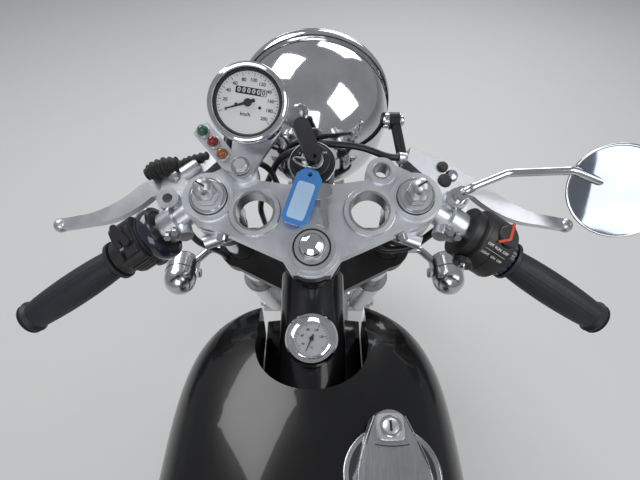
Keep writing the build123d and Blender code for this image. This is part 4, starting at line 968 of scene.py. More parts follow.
@dataclass
class Studio:
    """A pale floor, soft lamps and the camera at the photograph's place.

    Attributes:
        eye: the camera's place, in metres.
        pitch: how far it looks down, in degrees.
        focal: its focal length for a 36 mm sensor, in millimetres.
        lamps: name, place, target, width and power of each soft lamp.
        sky: the strength of the plain sky.
        floor_tone: how pale the floor is.
    """

    eye: Triple = (0.0073, 0.031, 1.273)
    pitch: float = 48.0
    focal: float = 28.24
    lamps: tuple = (
        ("key_lamp", (-1.4, 1.6, 2.9), (0.0, 0.3, 0.8), 1.6, 44.0),
        ("fill_lamp", (1.9, -0.6, 2.5), (0.0, 0.0, 0.7), 1.8, 28.0),
        ("rear_lamp", (-0.4, -2.6, 2.3), (0.0, -0.4, 0.6), 1.8, 28.0),
        ("front_lamp", (0.9, 3.0, 2.0), (0.0, 0.4, 0.7), 1.4, 24.0),
    )
    sky: float = 0.36
    floor_tone: float = 0.62

    def build(self) -> None:
        """Make the world, the floor, the lamps and the camera."""
        self.world()
        self.floor()
        for name, place, target, width, power in self.lamps:
            self.lamp(name, place, target, width, power)
        self.camera()
        bpy.context.scene.view_settings.view_transform = "Standard"

    def world(self) -> None:
        """Light the scene from a plain pale sky."""
        world = bpy.data.worlds.new("studio")
        world.use_nodes = True
        back = world.node_tree.nodes["Background"]
        back.inputs["Color"].default_value = rgb(0.80, 0.82, 0.85)
        back.inputs["Strength"].default_value = self.sky
        bpy.context.scene.world = world

    def floor(self) -> None:
        """Lay a pale floor, P(u, v) = (u, v, 0), wide enough to fill every view."""
        reach = 9.0
        u, v = np.meshgrid(np.linspace(-reach, reach, 9), np.linspace(-reach, reach, 9), indexing="ij")
        grid = np.stack([u, v, np.full_like(u, -0.0005)], -1)
        floor = surface("floor", grid)
        s = Shader("floor_pale")
        cloud = s.noise(3.0, 3.0)
        tone = s.blend(cloud, grey(self.floor_tone * 0.97), grey(self.floor_tone))
        floor.data.materials.append(s.done(Base_Color=tone, Roughness=0.55))

    def lamp(self, name: str, place: tuple, target: tuple, width: float, power: float) -> None:
        """Hang one square soft lamp that looks at a target.

        Args:
            name: the lamp's name.
            place: where it hangs, in metres.
            target: where it looks.
            width: its side, in metres.
            power: in watts.
        """
        light = bpy.data.lights.new(name, "AREA")
        light.energy = power
        light.size = width
        holder = hung(name, light)
        holder.location = place
        holder.rotation_euler = (Vector(target) - Vector(place)).to_track_quat("-Z", "Y").to_euler()

    def camera(self) -> None:
        """Set the camera at the rider's eye."""
        lens = bpy.data.cameras.new("rider_eye")
        lens.lens = self.focal
        lens.sensor_width = 36.0
        lens.clip_start = 0.02
        holder = hung("rider_eye", lens)
        holder.location = self.eye
        holder.rotation_euler = (math.radians(90.0 - self.pitch), 0.0, 0.0)
        bpy.context.scene.camera = holder


class Head(Enum):
    """The shape of a bolt's head."""

    HEX = "hex"
    SOCKET = "socket"
    DOME = "dome"


def bolt(
    name: str, place: Array, axis: Array, radius: float, height: float, head: Head = Head.HEX
) -> Piece:
    """Make one bolt head: a hexagon raised along its axis, or a socket or dome profile turned about it.

    Args:
        name: the piece's name.
        place: the middle of its seat, in metres.
        axis: the direction that it stands out.
        radius: in millimetres.
        height: in millimetres.
        head: its shape.

    Returns:
        The head.
    """
    if head is Head.HEX:
        levels = [(0.0, 0.0), (1.0, 0.0), (1.0, height * 0.78), (0.86, height), (0.0, height)]
        return stacked(name, place, axis, polygon(6, radius), levels)
    if head is Head.SOCKET:
        profile = [
            (0, 0), (radius, 0), (radius, height * 0.85), (radius * 0.86, height),
            (radius * 0.54, height), (radius * 0.5, height * 0.35), (0, height * 0.35),
        ]
        return turned(name, place, axis, profile, 20)
    profile = [
        (0, 0), (radius, 0), (radius * 0.98, height * 0.3), (radius * 0.82, height * 0.7),
        (radius * 0.45, height * 0.94), (0, height),
    ]
    return turned(name, place, axis, profile, 20)


def gather(name: str, pieces: list[Piece]) -> Piece:
    """Join pieces of one finish into one mesh.

    Args:
        name: the joined piece's name.
        pieces: what goes into it; they are used up.

    Returns:
        The joined piece.
    """
    work = bmesh.new()
    for piece in pieces:
        work.from_mesh(piece.data)
        bpy.data.meshes.remove(piece.data)
    mesh = bpy.data.meshes.new(name)
    work.to_mesh(mesh)
    work.free()
    return smooth(hung(name, mesh))


def hoop(name: str, origin: Array, axis: Array, radius: float, tube: float, steps: int = 48) -> Piece:
    """Make a round ring: a circle of the tube's radius, turned about the axis at the ring's radius."""
    profile = tube * swing(np.linspace(0, math.tau, 13), *FLAT) + (radius, 0)
    return turned(name, origin, axis, profile, steps)


def collar(
    name: str, origin: Array, axis: Array,
    inner: float, outer: float, low: float, high: float, steps: int = 48,
) -> Piece:
    """Make a flat ring with a small chamfer: a rectangle of profile turned about the axis.

    Args:
        name: the piece's name.
        origin: a point on the axis, in metres.
        axis: its direction.
        inner: the hole's radius, in millimetres.
        outer: the ring's radius.
        low: where it starts along the axis.
        high: where it ends.
        steps: points round the axis.

    Returns:
        The ring.
    """
    ease = min(0.4, (high - low) * 0.3, (outer - inner) * 0.3)
    profile = [
        (inner, low), (outer, low), (outer, high - ease), (outer - ease, high), (inner + ease, high),
        (inner, high - ease), (inner, low),
    ]
    return turned(name, origin, axis, profile, steps)


def ticks(
    name: str, centre: Array, across: Array, up: Array,
    angles: Array, inner: Array | float, outer: float, width: float,
) -> Piece:
    """Raise thin bars round a dial: each is a box from an inner to an outer radius at its angle.

    Args:
        name: the piece's name.
        centre: the dial's centre, in metres.
        across: the direction of angle 0.
        up: the direction of a quarter turn.
        angles: one for each bar, in degrees.
        inner: where the bars start, one value or one for each, in millimetres.
        outer: where they end.
        width: of a bar.

    Returns:
        The bars as one piece.
    """
    turn = np.radians(np.asarray(angles, float))
    out = swing(turn, across, up)
    side = swing(turn, up, -across)
    lift = np.cross(across, up) * 0.12
    near = np.broadcast_to(np.asarray(inner, float), turn.shape)[:, None]
    half = side * width / 2
    ring = [near * out - half, outer * out - half, outer * out + half, near * out + half]
    corners = np.stack([*ring, *(corner + lift for corner in ring)], 1)
    box = np.array([[3, 2, 1, 0], [4, 5, 6, 7], [0, 1, 5, 4], [1, 2, 6, 5], [2, 3, 7, 6], [3, 0, 4, 7]])
    faces = (box[None] + 8 * np.arange(len(turn))[:, None, None]).reshape(-1, 4)
    return join_mesh(name, centre + corners.reshape(-1, 3) * MM, faces)


@dataclass
class Speedometer(Assembly):
    """The round meter in front of the left fork tube: dial, marks, needle, counter and glass.

    Attributes:
        face: the middle of the rim's plane, in metres.
        normal: the direction it looks.
        turn: how far its dial is turned clockwise, in degrees.
        dial_r: the white dial's radius, in millimetres.
        zero: the angle of the 0 mark in the dial's own frame, in degrees.
        sweep: the angle from the first mark to the last.
        top: the last mark's number.
        floor: the dial's height from the rim's plane.
    """

    home = "steering"
    face: Array = field(default_factory=lambda: at_stem(-51, 103, 75))
    normal: Triple = (0.0, -0.70, 0.714)
    turn: float = 9.5
    dial_r: float = 25.3
    zero: float = 205.0
    sweep: float = 241.0
    top: int = 200
    floor: float = -4.6

    def __post_init__(self) -> None:
        """Work out the dial's own directions."""
        self.out = unit(self.normal)
        level = np.cross(self.out, RIGHT)
        turn = math.radians(self.turn)
        self.across = math.cos(turn) * RIGHT - math.sin(turn) * level
        self.up = math.sin(turn) * RIGHT + math.cos(turn) * level

    def on_dial(self, x: float, y: float, lift: float = 0.0) -> Array:
        """Place a point on the dial, in millimetres right, up and proud of it."""
        return self.face + (x * self.across + y * self.up + (self.floor + lift) * self.out) * MM

    def word(self, name: str, text: str, height: float, place: Array) -> Piece:
        """Print characters along the dial's own level."""
        return lettering(name, text, height, place, self.across, self.up)

    def angle(self, reading: float) -> float:
        """Give the angle of a reading, in degrees."""
        return self.zero - self.sweep * reading / self.top

    def build(self) -> None:
        """Make every piece of the meter."""
        self.dial()
        self.print()
        self.pointer()
        glass = [(0, -0.5), (14, -0.65), (27.3, -1.5), (27.3, -1.9), (14, -1.05), (0, -0.9)]
        self.fit(turned("meter_glass", self.face, self.out, glass), "dial_glass")
        rim = [(27.8, -0.9), (28.6, 0.35), (30.2, 0.8), (31.6, 0.3), (31.6, -1.2), (27.8, -1.2), (27.8, -0.9)]
        self.fit(turned("meter_rim", self.face, self.out, rim, 72), "chrome")

    def dial(self) -> None:
        """Make the white disc and the black ring round it."""
        centre = self.on_dial(0, 0)
        disc = slab(-0.2, 0, self.dial_r + 0.2)
        self.fit(turned("meter_dial", centre, self.out, disc, 72), "dial_white")
        edge = self.dial_r
        ring = [(edge, -0.2), (27.45, -0.2), (27.45, 3.2), (27.1, 3.2), (edge, 0.25), (edge, -0.2)]
        self.fit(turned("meter_inner_ring", centre, self.out, ring, 72), "print_black")

    def print(self) -> None:
        """Print the marks, the numbers, the unit, two dots and the distance counter."""
        marks = np.arange(0, self.top + 1, 5)
        inner = np.select([marks % 20 == 0, marks % 10 == 0], [21.6, 22.6], 23.5)
        centre = self.on_dial(0, 0, 0.02)
        self.fit(
            ticks("meter_marks", centre, self.across, self.up, self.angle(marks), inner, 24.6, 0.42),
            "print_black",
        )
        words = []
        for number in range(0, self.top + 1, 20):
            turn = math.radians(self.angle(number))
            place = self.on_dial(18.5 * math.cos(turn), 18.5 * math.sin(turn), 0.08)
            words.append(self.word(f"meter_{number}", str(number), 2.7, place))
        words.append(self.word("meter_unit", "km/h", 2.9, self.on_dial(-0.6, -9.6, 0.08)))
        self.join("meter_numbers", words, "print_black")
        window = stacked(
            "meter_counter", self.on_dial(1.3, 9.3), self.out, superellipse(25.5, 5.8, 12, 48),
            slab(0, 0.12), self.across,
        )
        self.fit(window, "print_black")
        last = stacked(
            "meter_counter_last", self.on_dial(11.5, 9.3), self.out, superellipse(4.0, 4.9, 12, 32),
            slab(0.1, 0.18), self.across,
        )
        self.fit(last, "print_white")
        digits = [
            self.word(f"meter_digit_{k}", "0", 3.7, self.on_dial(-8.6 + 4.0 * k, 9.3, 0.16)) for k in range(5)
        ]
        self.join("meter_digits", digits, "print_white")
        digit = self.word("meter_digit_last", "0", 3.7, self.on_dial(11.5, 9.3, 0.24))
        self.fit(digit, "print_black")
        dots = [
            turned(f"meter_dot_{x}", self.on_dial(x, -2.7), self.out, slab(0, 0.14, 1.3), 20)
            for x in (-9.2, 10.2)
        ]
        self.join("meter_dots", dots, "print_black")

    def pointer(self) -> None:
        """Make the needle at rest on 0: a tapered blade from a short tail to the tip, and its hub."""
        turn = math.radians(self.angle(0))
        along = swing(turn, self.across, self.up)
        blade = np.array([[-6.0, -1.5], [19.0, -0.35], [19.0, 0.35], [-6.0, 1.5]])
        needle = stacked("meter_needle", self.on_dial(0, 0, 1.3), self.out, blade, slab(0, 0.5), along)
        self.fit(needle, "print_black")
        hub = [(0, 0), (3.2, 0), (3.2, 1.4), (2.6, 2.2), (0, 2.5)]
        self.fit(turned("meter_hub", self.on_dial(0, 0), self.out, hub, 32), "switch_plastic")


@dataclass
class PilotLamps(Assembly):
    """Three coloured lamps with their rims, in their curved plate, and the washer under its bolt.

    Attributes:
        plate_top: the plate's height above the top clamp, in millimetres.
        lamps: name, right, forward and finish of each.
    """

    home = "steering"
    plate_top: float = 11.0
    lamps: tuple = (
        ("green", -101.0, 109.0, "lamp_green"),
        ("red", -91.0, 98.0, "lamp_red"),
        ("orange", -82.0, 86.0, "lamp_orange"),
    )

    def build(self) -> None:
        """Make the lamps and their rims."""
        dome = [(0, 0.2), (5.0, 0.2), (4.5, 4.1), (3.6, 6.1), (2.0, 7.1), (0, 7.4)]
        rims = []
        for name, right, forward, look in self.lamps:
            foot = at_stem(right, forward, self.plate_top)
            self.fit(turned(f"pilot_{name}", foot, STEM_UP, dome, 28), look)
            rims.append(collar(f"pilot_rim_{name}", foot, STEM_UP, 4.9, 6.3, 0, 1.4, 28))
        self.join("pilot_rims", rims, "satin_alloy")
        washer = collar("pilot_washer", at_stem(-65, 74.5, self.plate_top), STEM_UP, 5.2, 8.6, 0, 1.6, 32)
        self.fit(washer, "bright_steel")


@dataclass
class IgnitionLock(Assembly):
    """The lock's rings and generic marks, the key ring, the tag's label and the spare key.

    Attributes:
        forward: the lock's place, in millimetres forward of the stem.
        top: the height of its black ring.
        marks: each mark with its place from the lock's middle, right and forward.
    """

    home = "steering"
    forward: float = 88.0
    top: float = -8.0
    marks: tuple = (("OFF", 0.0, 13.6), ("ON", 11.8, 7.2), ("P", -12.0, 6.4))

    def build(self) -> None:
        """Make the pieces."""
        seat = at_stem(0, self.forward, self.top)
        black = [
            (10.8, -0.5), (16.2, -0.5), (17.0, -1.2), (17.0, 1.0), (16.0, 1.7), (11.6, 1.7), (10.8, 1.1),
            (10.8, -0.5),
        ]
        self.fit(turned("lock_ring", seat, STEM_UP, black, 64), "switch_plastic")
        face = [(0, 3.05), (2.0, 3.05), (2.4, 3.4), (9.2, 3.4), (10.7, 2.9), (10.7, 0.2), (0, 0.2)]
        self.fit(turned("lock_face", seat, STEM_UP, face, 48), "bright_steel")
        lower = hoop("lock_lower_ring", at_stem(0, self.forward, -15.5), STEM_UP, 21.4, 1.5)
        self.fit(lower, "satin_alloy")
        marks = []
        for word, x, y in self.marks:
            place = at_stem(x, self.forward + y, self.top + 1.8)
            marks.append(lettering(f"lock_{word}", word, 1.9, place, RIGHT, STEM_FORWARD))
        self.join("lock_marks", marks, "print_white")
        self.keys()

    def keys(self) -> None:
        """Make the split ring through key and tag, the label and the spare key."""
        rings = [
            hoop("key_ring_a", at_stem(-6.5, 80.5, 4.0), unit(np.array([0.35, 0.35, 0.87])), 11.5, 0.85, 40),
            hoop("key_ring_b", at_stem(-6.0, 80.0, 5.3), unit(np.array([0.30, 0.40, 0.87])), 11.3, 0.85, 40),
        ]
        self.join("key_rings", rings, "bright_steel")
        head = at_stem(0, 71, 10.75)
        foot = at_stem(-17, 20, 10.75)
        along = unit(foot - head)
        label = stacked(
            "tag_blank_label", head * 0.42 + foot * 0.58, STEM_UP, superellipse(36, 16.5, 9, 48),
            slab(-0.2, 0.25), along,
        )
        self.fit(label, "tag_label")
        bow = at_stem(9, 51, 7.0)
        tip = at_stem(12.5, 27, 7.0)
        run = unit(tip - bow)
        blade = np.array([
            [0, -3.1], [27, -3.1], [30, 0], [28, 1.2], [25, 2.2], [23, 1.2], [20, 2.8], [17, 1.4], [13, 3.0],
            [0, 3.1],
        ])
        middle = bow + run * 0.019
        pieces = [
            stacked("spare_bow", bow, STEM_UP, superellipse(15, 19, 2.6, 32), slab(0, 2.0), run),
            stacked("spare_blade", middle, STEM_UP, blade - (13, 0), slab(0.1, 1.9), run),
        ]
        self.join("spare_key", pieces, "bright_steel")


@dataclass
class ClampTop(Assembly):
    """Bright edges, washers and bolts of the top clamp, and the fork caps' rings.

    Attributes:
        fork: a fork tube's right and forward place, in millimetres.
        ring: a large ring's place.
        boss: a small boss's place.
    """

    home = "steering"
    fork: tuple[float, float] = (95.0, 48.6)
    ring: tuple[float, float] = (52.6, 35.5)
    boss: tuple[float, float] = (65.0, 74.5)

    def build(self) -> None:
        """Make the rings and bolts on both sides."""
        edges, bases, caps, gaskets, bolts = [], [], [], [], []
        for side in (-1, 1):
            hole = at_stem(side * self.ring[0], self.ring[1], 0)
            edges.append(collar(f"ring_lip_{side}", hole, STEM_UP, 17.0, 19.3, -1.0, 0.5, 64))
            edges.append(hoop(f"ring_step_{side}", hole - STEM_UP * 3 * MM, STEM_UP, 23.4, 0.9, 64))
            tube = at_stem(side * self.fork[0], self.fork[1], 0)
            caps.append(collar(f"cap_ring_{side}", tube, STEM_UP, 14.6, 16.9, 4.2, 5.2, 64))
            gaskets.append(collar(f"cap_gap_{side}", tube, STEM_UP, 17.1, 17.9, -0.4, 0.35, 64))
            bases.append(stacked(
                f"adjuster_base_{side}", tube + STEM_UP * 5 * MM, STEM_UP, polygon(6, 11.2),
                [(0, 0), (1, 0), (1, 11.0), (0.94, 11.8), (0, 11.8)], RIGHT,
            ))
            slot = tube + STEM_UP * 33.2 * MM
            gaskets.append(stacked(
                f"adjuster_slot_{side}", slot, STEM_UP, superellipse(9, 1.5, 8, 24),
                slab(0, 1.0), RIGHT * side + STEM_FORWARD * 0.6,
            ))
            pinch = at_stem(side * 82, 15.2, -11)
            toward = unit(np.array([side * 0.22, 0, 0]) - STEM_FORWARD)
            bolts.append(bolt(f"pinch_bolt_{side}", pinch, toward, 5.2, 6.0, Head.SOCKET))
        self.join("clamp_ring_edges", edges, "bright_steel")
        self.join("fork_cap_rings", caps, "chrome")
        self.join("adjuster_bases", bases, "bright_steel")
        self.join("fork_cap_gaps", gaskets, "print_black")
        self.join("clamp_pinch_bolts", bolts, "bright_steel")
        collar_seat = at_stem(0, 0, 5.3)
        # A black ring in the groove round the stem nut: painted shade.
        painted_shade_ring = collar("stem_painted_shade_ring", collar_seat, STEM_UP, 15.6, 17.2, -0.2, 0.25, 64)
        self.fit(painted_shade_ring, "print_black")
        self.fit(collar("stem_lip", collar_seat, STEM_UP, 17.4, 21.3, 0, 0.9, 64), "satin_alloy")
        button = at_stem(0, 0, 9.2)
        self.fit(bolt("stem_button", button, STEM_UP, 11.8, 9.6, Head.DOME), "chrome")
        boss = at_stem(self.boss[0], self.boss[1], 0)
        self.fit(collar("boss_lip", boss, STEM_UP, 7.0, 8.6, -0.6, 0.5, 40), "bright_steel")


@dataclass
class MirrorGlass(Assembly):
    """The bar mirror's glass and bead.

    Attributes:
        centre: the cup's face, in metres.
        normal: the direction it looks.
        radius: of the cup, in millimetres.
    """

    home = "steering"
    centre: Array = field(default_factory=lambda: mm(304, 402, 934))
    normal: Triple = (-0.42, -0.76, 0.50)
    radius: float = 47.0

    def build(self) -> None:
        """Make the slightly domed glass and the thin bright bead round it."""
        out = unit(self.normal)
        inner = self.radius - 2.2
        steps = np.linspace(0, 1, 7)
        dome = [(inner * s, 2.4 - 2.0 * s**2) for s in steps]
        glass = [*dome, (inner, -0.4), (0, -0.4)]
        # The glass's dark blue-grey finish is painted reflection, not the silver's own colour.
        self.fit(turned("mirror_glass", self.centre, out, glass, 72), "mirror_painted_reflection")
        bead = hoop("mirror_bead", self.centre + out * 0.0003, out, self.radius - 1.1, 1.5, 72)
        self.fit(bead, "chrome")


@dataclass
class OilThermometer(Assembly):
    """The dial thermometer in the backbone's filler.

    Attributes:
        seat: where it stands on the backbone, in metres.
        out: the direction it looks.
        rim_r: its radius, in millimetres.
        height: of its rim over the seat.
    """

    seat: Array = field(default_factory=lambda: mm(0, 262.73, 877.86))
    out: Array = field(default_factory=lambda: unit([0, -0.29623, 0.95509]))
    rim_r: float = 22.5
    height: float = 18.0

    def build(self) -> None:
        """Make the rim, the dial with its marks, the pointer and the glass."""
        up = np.cross(self.out, RIGHT)
        rim = self.seat + self.out * self.height * MM
        r = self.rim_r
        bezel = [
            (15.2, -2.2), (r, -2.2), (r + 0.4, 0.0), (r - 1.0, 2.2), (r - 2.8, 2.5), (r - 3.6, 1.2),
            (15.4, -0.4), (15.2, -2.2),
        ]
        self.fit(turned("thermometer_bezel", rim, self.out, bezel, 64), "chrome")
        levels = [(0, 0), (1, 0), (1, 5.4), (0.93, 6.2), (0, 6.2)]
        hexagon = stacked("thermometer_nut", self.seat, self.out, polygon(6, 19.0), levels)
        self.fit(hexagon, "chrome")
        dial = slab(-2.2, -1.7, 15.3)
        self.fit(turned("thermometer_dial", rim, self.out, dial, 56), "dial_grey")
        face = rim - self.out * 1.68 * MM
        angles = np.linspace(220, -40, 27)
        inner = np.where(np.arange(27) % 5 == 1, 11.4, 12.9)
        marks = ticks("thermometer_marks", face, RIGHT, up, angles, inner, 14.2, 0.4)
        self.fit(marks, "print_black")
        words = []
        for k, number in enumerate((40, 60, 80, 100, 120)):
            turn = math.radians(211 - 50 * k)
            place = face + (8.6 * swing(turn, RIGHT, up) + 0.1 * self.out) * MM
            words.append(lettering(f"thermometer_{number}", str(number), 1.9, place, RIGHT, up))
        words.append(lettering("thermometer_unit", "°C", 2.0, face - up * 0.0078, RIGHT, up))
        self.join("thermometer_numbers", words, "print_black")
        along = swing(math.radians(246), RIGHT, up)
        blade = np.array([[-4.0, -0.7], [12.0, -0.2], [12.0, 0.2], [-4.0, 0.7]])
        foot = face + self.out * 0.0006
        needle = stacked("thermometer_needle", foot, self.out, blade, slab(0, 0.35), along)
        hub = turned("thermometer_hub", face, self.out, [(0, 0), (1.9, 0), (1.9, 1.0), (0, 1.2)], 20)
        self.join("thermometer_pointer", [needle, hub], "print_black")
        glass = [(0, 0.9), (10, 0.6), (16.6, 0.0), (16.6, -0.4), (10, 0.2), (0, 0.5)]
        self.fit(turned("thermometer_glass", rim, self.out, glass, 56), "dial_glass")


@dataclass
class FuelCapLock(Assembly):
    """The hinged lid's lock plate, keyhole, edges, seal and screws.

    Attributes:
        lid: the middle of the lid's top at the lock, in metres.
        edge: places along the lid's side, right of its middle and forward, in millimetres.
    """

    home = "fuel_cap"
    lid: Array = field(default_factory=lambda: mm(60, 178, 901.05))
    edge: tuple = ((11.8, 186.5), (20, 166), (25.6, 145), (25.6, 109))

    def build(self) -> None:
        """Make the pieces that ride on the lid and those on its flange."""
        plate = stacked(
            "cap_lock_plate", self.lid, UP, superellipse(21, 21, 4.5, 56),
            [(0, -0.4), (1, -0.4), (1, 1.1), (0.95, 1.7), (0, 1.7)],
        )
        self.fit(plate, "satin_alloy")
        lock = [(0, 1.2), (8.4, 1.2), (8.4, 2.1), (7.7, 2.7), (6.9, 2.7), (6.6, 2.2), (0, 2.2)]
        self.fit(turned("cap_lock", self.lid, UP, lock, 48), "bright_steel")
        core = [(0, 1.9), (6.0, 1.9), (6.0, 2.65), (5.6, 2.9), (0, 2.9)]
        self.fit(turned("cap_lock_core", self.lid, UP, core, 40), "satin_alloy")
        slot = stacked("cap_keyhole", self.lid, UP, superellipse(2.0, 8.2, 6, 32), slab(2.6, 3.0))
        self.fit(slot, "print_black")
        across = np.linspace(-1, 1, 25)[:, None]
        arc = self.lid + (across * 12.5 * RIGHT + (-12.6 - 1.4 * (1 - across**2)) * AHEAD + 0.05 * UP) * MM
        self.fit(carried("cap_gap_line", arc, 0.75, UP, 0.35, 8), "print_black")
        for side in (-1, 1):
            edge = [mm(60 + side * right, forward, 901.0) for right, forward in self.edge]
            line = carried(f"cap_edge_{side}", spread(np.array(edge), 24), 0.55, UP, 0.7, 8)
            self.fit(line, "bright_steel")
        self.flange()

    def flange(self) -> None:
        """Make the seal under the lid, the flange's bright lip and its screws."""
        ring = mm(60, 148, 888.6)
        self.fit(collar("cap_seal", ring, UP, 27.5, 32.0, -0.2, 0.35, 72), "black_rubber", "chassis")
        self.fit(hoop("cap_flange_lip", ring - UP * 0.0003, UP, 35.2, 0.9, 80), "bright_steel", "chassis")
        turn = np.radians([62, 118, 242, 298])
        screws = [
            bolt(f"cap_screw_{k}", ring + 33.4 * MM * way, UP, 1.5, 0.5, Head.SOCKET)
            for k, way in enumerate(swing(turn, RIGHT, AHEAD))
        ]
        self.join("cap_screws", screws, "bright_steel", "chassis")
        pins = [
            bolt(f"cap_pin_{side}", mm(60 + side * 17.1, 98, 892.05), side * RIGHT, 3.0, 1.4, Head.DOME)
            for side in (-1, 1)
        ]
        self.join("cap_hinge_pin_heads", pins, "bright_steel", "chassis")


BAR_INNER = np.array([118.0, 50.0, -44.0])
BAR_OUTER = np.array([302.0, -47.0, -115.0])


def on_bar(side: int, right: float) -> Array:
    """Place a point on a bar's centreline, by millimetres from the midplane, in metres.

    Args:
        side: -1 for the left bar.
        right: distance from the midplane.

    Returns:
        The point.
    """
    share = (right - BAR_INNER[0]) / (BAR_OUTER[0] - BAR_INNER[0])
    place = BAR_INNER + share * (BAR_OUTER - BAR_INNER)
    return at_stem(side * place[0], place[1], place[2])


def bar_frame(side: int, right: float) -> tuple[Array, Array, Array, Array]:
    """Give a point on a bar, and its outward, top and rider's directions there.

    Args:
        side: -1 for the left bar.
        right: distance from the midplane, in millimetres.

    Returns:
        The point, then the three directions.
    """
    seat = on_bar(side, right)
    outward = unit(on_bar(side, 200.0) - seat)
    top = unit(STEM_UP - outward * (STEM_UP @ outward))
    return seat, outward, top, -side * np.cross(top, outward)


@dataclass
class Grips(Assembly):
    """The grips' end rings and the fine rings of their rubber.

    Attributes:
        start: the inner end, in millimetres from the midplane.
        stop: the outer end.
        radius: at the waist.
    """

    home = "steering"
    start: float = 200.0
    stop: float = 309.0
    radius: float = 15.0

    def build(self) -> None:
        """Make a ribbed sleeve: radius = waist + crown (1 - (2u - 1)^2) + rib cos, round the bar."""
        for side in (-1, 1):
            first, last = on_bar(side, self.start), on_bar(side, self.stop)
            run = last - first
            length = np.linalg.norm(run) / MM
            along = unit(run)
            place = np.linspace(9.0, length - 9.0, 141)
            share = (place - 9.0) / (length - 18.0)
            crown = 2.4 * (1 - (2 * share - 1) ** 2)
            radius = self.radius + 0.4 + crown + 0.09 * np.cos(place * math.tau / 3.4)
            turn = circle(96)
            rows = 0.14 * np.sign(np.cos(turn * 24))
            across, beside, axis = frame_of(along)
            reach = radius[:, None] + rows[None] * np.clip(8 * share * (1 - share), 0, 1)[:, None]
            ring = swing(turn, across, beside)
            grid = first + (place[:, None, None] * axis + reach[..., None] * ring[None]) * MM
            ends = first + place[[0, -1], None, None] * axis * MM + np.zeros((2, 96, 3))
            sleeve = surface(f"grip_sleeve_{side}", np.concatenate([ends[:1], grid, ends[1:]]), True)
            self.fit(sleeve, "grip_rubber")
            end = [
                (0, 0.2), (16.6, 0.2), (17.2, 0.9), (16.2, 1.7), (13.5, 1.7), (12.6, 1.0), (5.0, 1.0),
                (4.2, 1.8), (0, 2.0),
            ]
            self.fit(turned(f"grip_end_{side}", last, along, end, 48), "grip_rubber")


@dataclass
class HeadlampTrim(Assembly):
    """The headlamp's rim seam, rim bead, rim screw, mounting bolts and bulb shield.

    Attributes:
        centre: the rim plane's middle, in metres.
        radius: of the rim, in millimetres.
    """

    home = "steering"
    centre: Array = field(default_factory=lambda: mm(0, 560, 928))
    radius: float = 90.0

    def build(self) -> None:
        """Make the pieces."""
        seam = hoop("headlamp_seam", self.centre + AHEAD * 0.0005, AHEAD, 89.2, 0.9, 96)
        self.fit(seam, "print_black")
        bead = hoop("headlamp_rim_bead", self.centre + AHEAD * 0.014, AHEAD, self.radius - 1.2, 1.6, 96)
        self.fit(bead, "chrome")
        screw = bolt("headlamp_rim_screw", self.centre + mm(0, 8, -91), -UP, 4.0, 3.0, Head.DOME)
        self.fit(screw, "chrome")
        bolts, washers = [], []
        for side in (-1, 1):
            eye = self.centre + mm(side * 100.4, -30, 0)
            out = side * RIGHT
            washers.append(collar(f"stay_washer_{side}", eye, out, 4.0, 9.0, 0, 1.6, 32))
            bolts.append(bolt(f"stay_bolt_{side}", eye + out * 0.0014, out, 6.8, 5.0, Head.DOME))
        self.join("headlamp_bolts", bolts, "chrome")
        self.join("headlamp_washers", washers, "bright_steel")
        lens = self.centre + mm(0, 18.3, 0)
        hood = [(0, -0.4), (16, -0.4), (17, 3.0), (15, 7.0), (9, 10.5), (0, 12.0)]
        self.fit(turned("headlamp_bulb_shield", lens + AHEAD * 0.0002, AHEAD, hood, 40), "chrome")


@dataclass
class SignalLenses(Assembly):
    """The lens, seam and stem nut of each turn signal.

    Attributes:
        rear_height: the rear pair's height, in millimetres.
    """

    rear_height: float = 736.0

    def build(self) -> None:
        """Make them for both pairs: the profile follows the barrel's bulging end."""
        profile = [(0, 19.2), (18.6, 19.2), (18.3, 20.6), (16.4, 24.2), (12.4, 27.4), (6.6, 29.6), (0, 30.35)]
        for end, body, facing, inset in (("front", "steering", 1, 0.0204), ("rear", "chassis", -1, 0.0202)):
            lenses, seams, nuts = [], [], []
            for side in (-1, 1):
                front = at_stem(side * 172, 16, -205)
                centre = front if end == "front" else mm(side * 154, -660, self.rear_height)
                toward = AHEAD * facing
                lenses.append(turned(f"{end}_lens_{side}", centre, toward, profile, 48))
                seams.append(collar(f"{end}_seam_{side}", centre, toward, 19.6, 20.75, -1.6, -0.4, 56))
                seams.append(hoop(f"{end}_seal_{side}", centre + toward * 0.0195, toward, 20.0, 0.9, 56))
                inward = -side * RIGHT
                nuts.append(bolt(f"{end}_nut_{side}", centre + inward * (inset - 0.001), inward, 7.0, 6.0))
            self.join(f"{end}_signal_lenses", lenses, "lens_amber", body)
            self.join(f"{end}_signal_seams", seams, "print_black", body)
            self.join(f"{end}_signal_nuts", nuts, "bright_steel", body)


def instanced(name: str, shape: Array, faces: Array, places: Array, frames: Array) -> Piece:
    """Repeat one shape: each copy is its place plus the shape's points in that copy's directions.

    Args:
        name: the piece's name.
        shape: the shape's points, in metres.
        faces: its faces.
        places: one origin for each copy.
        frames: three directions for each copy.

    Returns:
        All the copies as one piece.
    """
    points = places[:, None] + np.einsum("pk,nkd->npd", shape, frames)
    numbers = faces[None] + len(shape) * np.arange(len(places))[:, None, None]
    return smooth(join_mesh(name, points.reshape(-1, 3), numbers.reshape(-1, faces.shape[1])))


